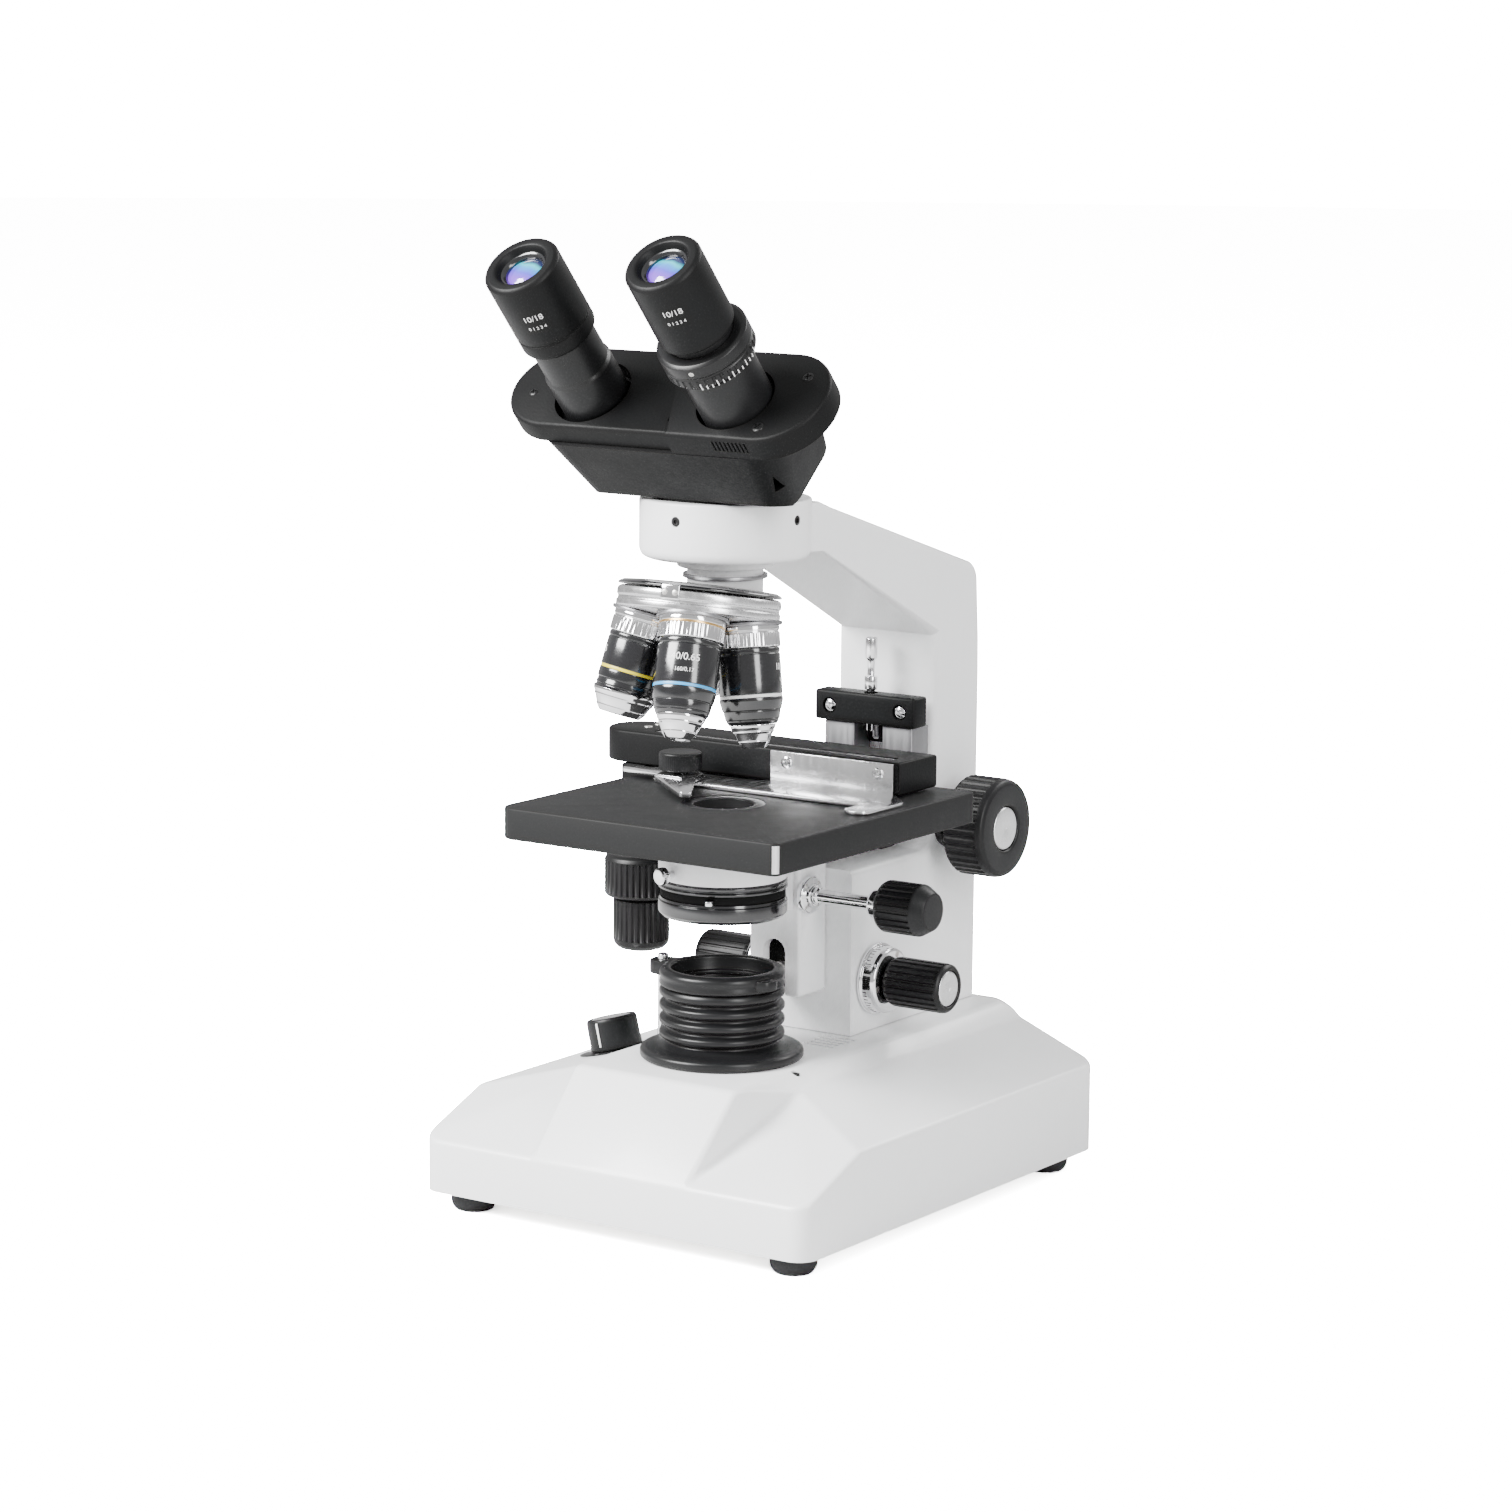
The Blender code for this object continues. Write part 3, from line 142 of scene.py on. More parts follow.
def areaLight(name, place, aim, size, watts):
    data = bpy.data.lights.new(name, "AREA")
    data.shape = "RECTANGLE"
    data.size, data.size_y = size
    data.energy = watts
    item = bpy.data.objects.new(name, data)
    bpy.context.scene.collection.objects.link(item)
    gaze = Vector(aim) - Vector(place)
    item.matrix_world = Matrix.Translation(place) @ gaze.to_track_quat("-Z", "Y").to_matrix().to_4x4()


def makeStudio():
    world = bpy.data.worlds.new("studio")
    world.use_nodes = True
    nodes, links = world.node_tree.nodes, world.node_tree.links
    seen = Wire(nodes.new("ShaderNodeLightPath").outputs["Is Camera Ray"])
    nodes["Background"].inputs["Color"].default_value = (1, 1, 1, 1)
    glow = seen * (light["backdrop"] - light["world"]) + light["world"]
    links.new(glow.socket, nodes["Background"].inputs["Strength"])
    bpy.context.scene.world = world
    areaLight("keyLight", (-0.75, -1.15, 1.15), (0, 0, 0.15), (0.9, 0.9), light["key"])
    areaLight("fillLight", (1.5, -0.7, 0.9), (0, 0, 0.15), (0.5, 1.5), light["fill"])
    areaLight("rimLight", (0.5, 1.3, 1.2), (0, 0, 0.2), (1.2, 0.6), light["rim"])
    bm = bmesh.new()
    bmesh.ops.create_circle(bm, cap_ends=True, radius=9, segments=64)
    mesh = bpy.data.meshes.new("floor")
    bm.to_mesh(mesh)
    bm.free()
    floor = bpy.data.objects.new("floor", mesh)
    bpy.context.scene.collection.objects.link(floor)
    paper = bpy.data.materials.new("paleFloor")
    paper.use_nodes = True
    nodes, links = paper.node_tree.nodes, paper.node_tree.links
    seen = Wire(nodes.new("ShaderNodeLightPath").outputs["Is Camera Ray"])
    white = nodes.new("ShaderNodeBsdfDiffuse")
    bright = seen * (light["paper"] - light["bounce"]) + light["bounce"]  # the paper burns out to white
    links.new(bright.socket, white.inputs["Color"])
    links.new(white.outputs[0], nodes["Material Output"].inputs["Surface"])
    mesh.materials.append(paper)


makeCamera()
makeStudio()
print("studio: camera, three lights, floor")


# finishes
class Finish:
    def __init__(self, name, colour, rough, metal=0.0, shine=0.5, coat=0.0):
        self.material = bpy.data.materials.new(name)
        self.material.use_nodes = True
        self.material.diffuse_color = (*colour, 1)
        self.tree = self.material.node_tree
        self.shader = self.tree.nodes["Principled BSDF"]
        self.colour, self.rough = colour, rough
        self.fix({"Base Color": (*colour, 1), "Roughness": rough, "Metallic": metal,
                  "Specular IOR Level": shine, "Coat Weight": coat, "Coat Roughness": 0.15})

    def fix(self, values):
        for key, value in values.items():
            self.shader.inputs[key].default_value = value

    def node(self, kind, settings=None, sockets=None, out=0):
        node = self.tree.nodes.new(kind)
        for key, value in (settings or {}).items():
            setattr(node, key, value)
        for key, value in (sockets or {}).items():
            if isinstance(value, Wire):
                self.tree.links.new(value.socket, node.inputs[key])
            else:
                node.inputs[key].default_value = value
        return Wire(node.outputs[out])

    def put(self, socket, wire):
        self.tree.links.new(wire.socket, self.shader.inputs[socket])

    def place(self, out="Object"):
        return self.node("ShaderNodeTexCoord", out=out)

    def noise(self, scale, detail=3.0, stretch=(1, 1, 1), out="Object"):
        where = self.node("ShaderNodeMapping", {}, {"Vector": self.place(out), "Scale": stretch})
        return self.node("ShaderNodeTexNoise", {}, {"Vector": where, "Scale": scale, "Detail": detail})

    def blend(self, share, first, second):  # colours mixed by a share from 0 to 1
        return self.node("ShaderNodeMix", {"data_type": "RGBA"}, {0: share, 6: first, 7: second}, 2)

    def shade(self, share, amount):  # base colour a little darker and lighter
        dark = tuple(c * (1 - amount) for c in self.colour) + (1,)
        pale = tuple(min(1, c * (1 + amount)) for c in self.colour) + (1,)
        self.put("Base Color", self.blend(share, dark, pale))

    def bump(self, height, depth, strength=1.0):  # depth in metres
        self.put("Normal", self.node("ShaderNodeBump", {}, {"Height": height, "Distance": depth,
                                                            "Strength": strength}))


def paintFinish(name, colour, rough, grain, depth, shine=0.5, coat=0.0, amount=0.04):
    f = Finish(name, colour, rough, 0.0, shine, coat)
    f.shade(f.noise(38, 2), amount)
    f.put("Roughness", (f.noise(90, 4) - 0.5) * 0.16 + rough)
    f.bump(f.noise(grain, 2), depth, 0.6)
    return f.material


def turnedFinish(name, colour, rough, metal=1.0, rings=5.0, depth=0.00004, coat=0.0, shine=0.5):
    f = Finish(name, colour, rough, metal, shine, coat)  # lathe marks run round the piece
    marks = f.noise(1.0, 4, (3, rings, 1), "UV")
    f.shade(f.noise(120, 3), 0.10)
    f.put("Roughness", (marks - 0.5) * 0.25 + (f.noise(160, 3) - 0.5) * 0.1 + rough)
    f.bump(marks, depth, 0.5)
    return f.material


def brushedFinish(name, colour, rough, stretch, metal=1.0, depth=0.00002):
    f = Finish(name, colour, rough, metal)
    hair = f.noise(700, 3, stretch)
    f.shade(f.noise(60, 3), 0.12)
    f.put("Roughness", (hair - 0.5) * 0.3 + rough)
    f.bump(hair, depth, 0.6)
    return f.material


def glassFinish(name, colour, rough=0.02):
    f = Finish(name, colour, rough)
    f.fix({"Transmission Weight": 0.92, "IOR": 1.52})
    f.put("Roughness", f.noise(300, 3) * 0.05 + rough)
    f.shade(f.noise(50, 2), 0.02)
    return f.material


def paintedReflectionLensFinish():
    f = Finish("paintedReflectionLens", (0.05, 0.08, 0.35), 0.06, 0.0, 0.8, 1.0)
    across = f.node("ShaderNodeSeparateXYZ", {}, {"Vector": f.place("UV")})
    up = Wire(across.socket.node.outputs[1])  # u and v are millimetres over the lens
    # painted reflection: the coating's violet, blue and teal reflections are painted into the base colour as a
    # fixed gradient from front to back across the lens
    reflectionClimb = f.node("ShaderNodeMapRange", {}, {"Value": up, "From Min": -5.0, "From Max": 5.0})
    soft = reflectionClimb + (f.noise(220, 2) - 0.5) * 0.25 + across * 0.02
    ramp = f.node("ShaderNodeValToRGB", {}, {"Fac": soft})
    stops = ramp.socket.node.color_ramp.elements
    stops[0].position, stops[0].color = 0.12, (0.16, 0.05, 0.50, 1)
    stops[1].position, stops[1].color = 0.95, (0.01, 0.02, 0.08, 1)
    for spot, reflectionTint in ((0.38, (0.07, 0.06, 0.55, 1)), (0.62, (0.02, 0.22, 0.55, 1)), (0.78, (0.02, 0.42, 0.50, 1))):
        stops.new(spot).color = reflectionTint
    f.put("Base Color", ramp)
    f.put("Roughness", f.noise(400, 2) * 0.06 + 0.03)
    return f.material


white = paintFinish("whiteEnamel", (0.80, 0.805, 0.81), 0.36, 520, 0.00010, 0.5, 0.25, 0.012)
castWhite = paintFinish("whiteCasting", (0.78, 0.785, 0.79), 0.42, 380, 0.00016, 0.45, 0.15, 0.015)
stageBlack = paintFinish("stageBlack", (0.013, 0.013, 0.0133), 0.55, 1500, 0.00008, 0.12)
headBlack = paintFinish("headBlack", (0.004, 0.004, 0.0043), 0.50, 1100, 0.00012, 0.12)
# the darkest black: flocked and printed black parts, and the black sheets that are painted shade in slots and
# openings
deepBlack = paintFinish("flockedBlackAndPaintedShade", (0.004, 0.004, 0.004), 0.85, 2500, 0.0002, 0.1)
anodised = turnedFinish("anodisedBlack", (0.007, 0.007, 0.0075), 0.34, 0.0, 4.0, 0.00003, 0.0, 0.28)
lacquer = turnedFinish("lacquerBlack", (0.006, 0.006, 0.007), 0.16, 0.0, 1.2, 0.00001, 0.6, 0.6)
plastic = paintFinish("knobPlastic", (0.005, 0.005, 0.0055), 0.42, 1400, 0.00006, 0.25)
# rubber of the feet, also the black slab that is painted shade at the arm's foot
rubberAndGapShade = paintFinish("footRubberAndGapShade", (0.010, 0.010, 0.011), 0.62, 900, 0.00012, 0.4)
chrome = turnedFinish("chromePlate", (0.82, 0.82, 0.83), 0.10, 1.0, 3.0, 0.000012)
# satin metal of the discs, caps and pins, also used for the painted highlight on the stage corner
satin = turnedFinish("satinAluminiumAndPaintedHighlight", (0.74, 0.745, 0.75), 0.30, 1.0, 9.0, 0.00003)
gold = turnedFinish("goldRing", (0.72, 0.46, 0.18), 0.28, 1.0, 5.0)
brushed = brushedFinish("brushedSteel", (0.72, 0.72, 0.73), 0.26, (0.06, 1, 1))
ground = brushedFinish("groundSteel", (0.30, 0.30, 0.31), 0.38, (1, 1, 0.05))
plated = brushedFinish("platedSheet", (0.80, 0.80, 0.81), 0.20, (1, 0.1, 0.1))
clearGlass = glassFinish("clearGlass", (0.97, 0.98, 0.98))
paintedReflectionLens = paintedReflectionLensFinish()
frosted = paintFinish("frostedGlass", (0.52, 0.54, 0.55), 0.55, 1800, 0.0001, 0.5, 0.3)
boardGreen = paintFinish("solderMask", (0.012, 0.09, 0.03), 0.35, 700, 0.0001, 0.5, 0.4, 0.2)
tin = brushedFinish("tinnedSteel", (0.55, 0.54, 0.52), 0.42, (1, 1, 1))
bandYellow = paintFinish("bandYellow", (0.62, 0.52, 0.02), 0.35, 900, 0.00003)
bandBlue = paintFinish("bandBlue", (0.04, 0.30, 0.60), 0.35, 900, 0.00003)
bandWhite = paintFinish("bandWhite", (0.75, 0.75, 0.74), 0.35, 900, 0.00003)
bandRed = paintFinish("bandRed", (0.50, 0.03, 0.02), 0.35, 900, 0.00003)
print("finishes: %d materials" % len(bpy.data.materials))


# modelling helpers
def roundedPath(points, radius, closed=False):  # each corner of a path becomes a short curve
    count = len(points)
    path = []
    for k, spot in enumerate(points):
        spot = Vector(spot)
        if not closed and k in (0, count - 1):
            path.append(tuple(spot))
            continue
        before, after = Vector(points[k - 1]) - spot, Vector(points[(k + 1) % count]) - spot
        if before.length < 1e-6 or after.length < 1e-6 or abs(before.angle(after) - math.pi) < 0.05:
            path.append(tuple(spot))
            continue
        reach = min(radius, before.length * 0.45, after.length * 0.45)
        start, end = spot + before.normalized() * reach, spot + after.normalized() * reach
        path.append(tuple(start))
        path.append(tuple(start * 0.25 + spot * 0.5 + end * 0.25))
        path.append(tuple(end))
    return path


def arcPoints(middle, radius, start, end, steps):
    angles = [math.radians(start + (end - start) * k / steps) for k in range(steps + 1)]
    return [(middle[0] + radius * math.cos(a), middle[1] + radius * math.sin(a)) for a in angles]


def lathe(profile, steps=72, soft=0.3, ring=False):
    bm = bmesh.new()
    path = roundedPath(profile, soft, ring)
    points = [bm.verts.new((r, 0, z)) for r, z in path]
    edges = [bm.edges.new(pair) for pair in zip(points, points[1:])]
    if ring:
        edges.append(bm.edges.new((points[-1], points[0])))
    bmesh.ops.spin(bm, geom=points + edges, cent=(0, 0, 0), axis=(0, 0, 1), angle=math.tau, steps=steps,
                   use_merge=True)
    bmesh.ops.remove_doubles(bm, verts=bm.verts, dist=1e-4)
    unrollTurning(bm)
    return bm


def unrollTurning(bm):  # u goes round the axis, v along the profile in millimetres
    layer = bm.loops.layers.uv.new("turning")
    for face in bm.faces:
        middle = face.calc_center_median()
        base = math.atan2(middle.y, middle.x)
        for loop in face.loops:
            spot = loop.vert.co
            reach = math.hypot(spot.x, spot.y)
            angle = math.atan2(spot.y, spot.x) if reach > 1e-4 else base
            angle = base + (angle - base + math.pi) % math.tau - math.pi
            loop[layer].uv = (angle / math.tau * 8, reach + spot.z)


def prism(outline, low, high, soft=0.0, segments=2):
    bm = bmesh.new()
    face = bm.faces.new([bm.verts.new((x, y, low)) for x, y in outline])
    made = bmesh.ops.extrude_face_region(bm, geom=[face])["geom"]
    bmesh.ops.translate(bm, verts=[v for v in made if isinstance(v, bmesh.types.BMVert)], vec=(0, 0, high - low))
    bmesh.ops.recalc_face_normals(bm, faces=bm.faces)
    if soft:
        rim = [e for e in bm.edges if abs(e.verts[0].co.z - e.verts[1].co.z) < 1e-6]
        bmesh.ops.bevel(bm, geom=rim, offset=soft, segments=segments, profile=0.5, affect="EDGES", material=-1)
    return bm


def block(low, high, soft=0.5, segments=2):
    bm = bmesh.new()
    bmesh.ops.create_cube(bm, size=1.0)
    low, high = Vector(low), Vector(high)
    bmesh.ops.scale(bm, verts=bm.verts, vec=high - low)
    bmesh.ops.translate(bm, verts=bm.verts, vec=(low + high) / 2)
    if soft:
        bmesh.ops.bevel(bm, geom=bm.edges[:], offset=soft, segments=segments, profile=0.5, affect="EDGES",
                        clamp_overlap=True, material=-1)
    return bm


def softenEdges(bm, width, segments=3, sharper=20, skip=None):
    bmesh.ops.recalc_face_normals(bm, faces=bm.faces)
    sharp = [e for e in bm.edges if e.is_manifold and e.calc_face_angle(0) > math.radians(sharper)
             and not (skip and skip(e))]
    bmesh.ops.bevel(bm, geom=sharp, offset=width, segments=segments, profile=0.5, affect="EDGES",
                    clamp_overlap=True, material=-1)
    return bm


def moved(bm, matrix):
    bm.transform(matrix)
    return bm


def together(*parts):  # several bmeshes become one
    bm = parts[0]
    for part in parts[1:]:
        mesh = bpy.data.meshes.new("part")
        part.to_mesh(mesh)
        part.free()
        bm.from_mesh(mesh)
        bpy.data.meshes.remove(mesh)
    return bm


def carve(bm, cutter, operation="DIFFERENCE"):
    pair = []
    for part in (bm, cutter):
        bmesh.ops.recalc_face_normals(part, faces=part.faces)
        mesh = bpy.data.meshes.new("work")
        part.to_mesh(mesh)
        part.free()
        pair.append(bpy.data.objects.new("work", mesh))
        bpy.context.scene.collection.objects.link(pair[-1])
    boolean = pair[0].modifiers.new("cut", "BOOLEAN")
    boolean.operation, boolean.solver, boolean.object = operation, "EXACT", pair[1]
    result = bmesh.new()
    result.from_object(pair[0], bpy.context.evaluated_depsgraph_get())
    for item in pair:
        mesh = item.data
        bpy.data.objects.remove(item)
        bpy.data.meshes.remove(mesh)
    return result


def nodeCopy(name):  # a merged copy of a CAD node, in millimetres, with its flat faces whole again
    bm = bmesh.new()
    bm.from_mesh(frame["nodes"][name].data)
    bmesh.ops.transform(bm, matrix=toHome, verts=bm.verts)
    bmesh.ops.remove_doubles(bm, verts=bm.verts, dist=2e-3)
    bmesh.ops.recalc_face_normals(bm, faces=bm.faces)
    bmesh.ops.dissolve_limit(bm, angle_limit=math.radians(0.5), verts=bm.verts, edges=bm.edges)
    return bm


made = []


def piece(name, bm, material, body, replaces=(), matrix=still, sharp=42, flat=False):
    bmesh.ops.remove_doubles(bm, verts=bm.verts, dist=1e-4)
    bmesh.ops.transform(bm, matrix=home @ matrix, verts=bm.verts)
    bmesh.ops.recalc_face_normals(bm, faces=bm.faces)
    mesh = bpy.data.meshes.new(name)
    bm.to_mesh(mesh)
    bm.free()
    for finish in material if isinstance(material, tuple) else (material,):
        mesh.materials.append(finish)
    if not flat:
        mesh.shade_smooth()
        mesh.set_sharp_from_angle(angle=math.radians(sharp))
    item = bpy.data.objects.new(name, mesh)
    bpy.context.scene.collection.objects.link(item)
    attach(item, body)
    if replaces:
        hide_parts(*((replaces,) if isinstance(replaces, str) else replaces))
    made.append(item)
    return item


def dress(name, material):  # a CAD node keeps its shape and gets a finish
    slots = frame["nodes"][name].data.materials
    slots.clear()
    slots.append(material)


def flute(bm, count, depth, inner, low, high, share=0.5):  # straight grooves round a knob
    for v in bm.verts:
        reach = math.hypot(v.co.x, v.co.y)
        if reach < inner or not low <= v.co.z <= high:
            continue
        phase = (math.atan2(v.co.y, v.co.x) / math.tau * count) % 1.0
        dip = max(0.0, 1 - (abs(phase - 0.5) / (share / 2)) ** 4)
        scale = (reach - depth * dip) / reach
        v.co.x *= scale
        v.co.y *= scale
    return bm


def screwHead(radius, height, style="cross"):  # a pan head standing on z = 0
    head = lathe([(0, height), (radius * 0.55, height * 0.94), (radius * 0.9, height * 0.62),
                  (radius, height * 0.2),
                  (radius, -0.4), (0, -0.4)], 32, 0.15)
    deep = height * 0.45
    if style == "hex":
        bit = prism(arcPoints((0, 0), radius * 0.5, 0, 300, 5), deep, height + 1)
    else:
        wide, long = radius * 0.13, radius * 0.62
        bit = block((-wide, -long, deep), (wide, long, height + 1), 0)
        if style == "cross":
            bit = carve(bit, block((-long, -wide, deep), (long, wide, height + 1), 0), "UNION")
        else:
            bmesh.ops.scale(bit, verts=bit.verts, vec=(1, 1.8, 1))
    return carve(head, bit)


def screws(name, spots, radius, height, material, body, style="cross"):
    parts = [moved(screwHead(radius, height, style), spot @ turned(23 + 31 * k, "Z")) for k,
             spot in enumerate(spots)]
    return piece(name, together(*parts), material, body)


def numerals(text, size, thick=0.12):  # raised figures on the XY plane, centred
    curve = bpy.data.curves.new("figures", "FONT")
    curve.body, curve.size, curve.extrude = text, size, thick / 2
    curve.align_x, curve.align_y = "CENTER", "CENTER"
    item = bpy.data.objects.new("figures", curve)
    bpy.context.scene.collection.objects.link(item)
    bm = bmesh.new()
    bpy.context.view_layer.update()
    mesh = bpy.data.meshes.new_from_object(item.evaluated_get(bpy.context.evaluated_depsgraph_get()))
    bm.from_mesh(mesh)
    bpy.data.objects.remove(item)
    bpy.data.meshes.remove(mesh)
    bpy.data.curves.remove(curve)
    bmesh.ops.remove_doubles(bm, verts=bm.verts, dist=1e-5)
    return bm


def wrapped(bm, radius, height, angle=0.0):  # lays a flat bmesh round a cylinder's side, reading upright
    for v in bm.verts:
        x, y, z = v.co
        turn = math.radians(angle) + x / radius
        v.co = ((radius + z) * math.sin(turn), -(radius + z) * math.cos(turn), height + y)
    return bm


# base
base = {"cornerRadius": 8.0, "crease": 1.8, "wall": 4.0, "skirtFront": 27.7, "skirtSide": 41.5, "wingInner": 52.0,
        "flatHalf": 36.0, "strip": 7.0, "sweep": 16.0, "rise": 0.4, "ramp": 29.0, "ventCount": 5, "ventWidth": 1.5}
baseLow, baseHigh = box("base_housing")


def baseHull(inset=0.0, drop=0.0):  # the right half from its corner points, then mirrored
    wide, front, rear, top = baseHigh.x - inset, baseLow.y + inset, baseHigh.y - inset, baseHigh.z - inset
    bottom = baseLow.z - drop
    low, side, inner = base["skirtFront"] - inset, base["skirtSide"] - inset, base["wingInner"] - inset
    flat = base["flatHalf"] - inset / 2
    wing = flat + base["strip"]
    bm = bmesh.new()

    def spot(x, y, z):
        return bm.verts.new((x, y, z))

    sideRear = rear - base["sweep"]
    wingRear = rear - base["sweep"] * base["strip"] / (wide - flat)
    underFront, underRear, underBack = spot(wide, front, bottom), spot(wide, sideRear, bottom), spot(flat, rear,
                                                                                                     bottom)
    midFront, midRear = spot(0, front, bottom), spot(0, rear, bottom)
    corner, panel, midPanel = spot(wide, front, low), spot(flat - 1.5, front, low), spot(0, front, low)
    brow, midBrow = spot(flat, front + base["ramp"], top), spot(0, front + base["ramp"], top)
    apex = spot(wing, front + (inner - low) / base["rise"], inner)
    shoulder = spot(wide, front + (side - low) / base["rise"], side)
    backSide, backWing, backFlat = spot(wide, sideRear, side), spot(wing, wingRear, inner), spot(flat, rear, top)
    midTop = spot(0, rear, top)
    for ring in ((underFront, underRear, backSide, shoulder, corner), (panel, corner, shoulder, apex),
                 (panel, apex, brow), (brow, apex, backWing, backFlat), (apex, shoulder, backSide, backWing),
                 (midPanel, panel, brow, midBrow), (midBrow, brow, backFlat, midTop),
                 (midFront, underFront, corner, panel, midPanel), (underBack, midRear, midTop, backFlat),
                 (underRear, underBack, backFlat, backWing, backSide),
                 (midFront, midRear, underBack, underRear, underFront)):
        bm.faces.new(ring)
    bmesh.ops.mirror(bm, geom=bm.verts[:] + bm.edges[:] + bm.faces[:], axis="X", merge_dist=1e-3)
    bmesh.ops.recalc_face_normals(bm, faces=bm.faces)
    seam = [e for e in bm.edges if abs(e.verts[0].co.x) < 1e-4 and abs(e.verts[1].co.x) < 1e-4]
    bmesh.ops.dissolve_edges(bm, edges=seam, use_verts=True)
    return bm


def makeBase():
    bm = baseHull()
    upright = [e for e in bm.edges if (e.verts[0].co - e.verts[1].co).xy.length < 1e-4]
    bmesh.ops.bevel(bm, geom=upright, offset=base["cornerRadius"], segments=6, profile=0.5, affect="EDGES",
                    material=-1)
    bmesh.ops.remove_doubles(bm, verts=bm.verts, dist=1e-3)  # a doubled corner would spoil the cuts
    softenEdges(bm, base["crease"], 3, 14, lambda e: (e.verts[0].co - e.verts[1].co).xy.length < 0.5
                or max(v.co.z for v in e.verts) < baseLow.z + 0.1)
    bmesh.ops.remove_doubles(bm, verts=bm.verts, dist=1e-3)
    bm = carve(bm, baseHull(base["wall"], 1.0))
    top = baseHigh.z
    bm = carve(bm, moved(lathe([(0, 3), (18, 3), (18, -9), (0, -9)], 48, 0), shift(0, 0, top)))
    dimmer = jointFrame("dimmer_turn")
    bm = carve(bm, moved(lathe([(0, 6), (3.4, 6), (3.4, -12), (0, -12)], 24, 0), dimmer))
    inletLow, inletHigh = box("power_inlet")
    bm = carve(bm, block((inletLow.x - 0.3, baseHigh.y - 9, inletLow.z - 0.3), (inletHigh.x + 0.3, baseHigh.y + 2,
                                                                              inletHigh.z + 0.3), 0))
    slots = bmesh.new()
    for side in (-1, 1):
        for k in range(base["ventCount"]):
            y = 34.0 + k * 3.6
            slots = together(slots, block((side * 20 - 7, y, top - 8), (side * 20 + 7, y + base["ventWidth"],
                                                                        top + 2), 0))
    bm = carve(bm, slots)
    hole = moved(lathe([(0, 3), (1.7, 3), (1.7, -3), (0, -3)], 24, 0), shift(36.4, -5.0, 57.2))
    bm = carve(bm, hole)
    piece("baseCasting", bm, white, "stand", "base_housing", sharp=32)
    piece("baseSetScrew", lathe([(0, 0.6), (0.8, 0.6), (0.8, 1.4), (1.6, 1.4), (1.6, -2), (0, -2)], 24, 0.1),
          anodised,
          "stand", matrix=shift(36.4, -5.0, 55.4))
    dress("base_plate", tin)
    plateLow, plateHigh = box("base_plate")
    spots = [shift(x * 60, y, plateLow.z) @ turned(180, "X") for x in (-1, 1) for y in (plateLow.y + 32, 30,
                                                                                        plateHigh.y - 42)]
    screws("basePlateScrews", spots, 3.2, 1.4, tin, "stand")
    # painted shade: black slabs on the base plate stand in for vent slits, showing the dark inside of the base
    slits = [block((x - 0.8, 62, plateLow.z - 0.25), (x + 0.8, 96, plateLow.z + 0.1), 0.1) for x in range(-24, 25,
                                                                                                          4)]
    piece("basePlateVentPaintedShade", together(*slits), deepBlack, "stand")
    print("base: casting, plate, screws")


foot = {"recess": 3.2, "screw": 2.4}


def makeFeet():
    for name in ("foot_front_left", "foot_front_right", "foot_rear_left", "foot_rear_right"):
        low, high = box(name)
        r = (high.x - low.x) / 2
        middle = (low + high) / 2
        profile = [(0, high.z), (r - 0.6, high.z), (r, high.z - 2.2), (r - 0.3, 2.4), (r - 2.0, 0),
                   (foot["recess"], 0),
                   (foot["recess"] - 0.4, 3.4), (0, 3.4)]
        piece(name.replace("_", "") + "Pad", lathe(profile, 56, 0.9), rubberAndGapShade, "stand", name,
              shift(middle.x, middle.y, 0))
        screws(name.replace("_", "") + "Screw", [shift(middle.x, middle.y, 3.3) @ turned(180, "X")], foot["screw"],
               1.2,
               tin, "stand")
    print("feet: four pads with their screws")


dimmer = {"flutes": 24, "capRadius": 8.0, "dialRadius": 14.5, "ticks": 11}


def makeDimmer():
    spot = jointFrame("dimmer_turn")
    r, top = 10.0, 13.0
    profile = [(0, top - 0.5), (dimmer["capRadius"], top - 0.5), (dimmer["capRadius"] + 0.3, top), (r - 0.7, top),
               (r - 0.2, top - 1.2), (r, 1.5), (r, 0.7), (3, 0.7), (3, -5), (0, -5)]
    bm = flute(lathe(profile, 24 * 8, 0.5), dimmer["flutes"], 0.35, 9.3, 1.6, top - 2.6)
    piece("dimmerGrip", bm, plastic, "dimmer", "dimmer_knob", spot)
    piece("dimmerCap", lathe([(0, top + 0.02), (6.2, top + 0.02), (7.4, top - 0.14), (7.8, top - 0.5),
                              (0, top - 0.6)], 64, 0.15),
          satin, "dimmer", matrix=spot)
    mark = block((-0.45, -r - 0.06, 2.5), (0.45, -r + 0.5, top - 1.2), 0.1)
    piece("dimmerMark", mark, bandWhite, "dimmer", matrix=spot)
    plate = lathe([(3.6, 0.05), (3.6, 0.4), (dimmer["dialRadius"], 0.4), (dimmer["dialRadius"], 0.05)], 72, 0.1,
                  True)
    piece("dimmerDial", plate, anodised, "stand", matrix=spot)
    marks = []
    for k in range(dimmer["ticks"]):
        long = 1.9 if k % 5 == 0 else 1.2
        tick = block((-0.14, 13.9 - long, 0.38), (0.14, 13.9, 0.46), 0)
        marks.append(moved(tick, turned(90 - 27 * k, "Z")))
    piece("dimmerTicks", together(*marks), bandWhite, "stand", matrix=spot, flat=True)
    dress("dimmer_pot", tin)


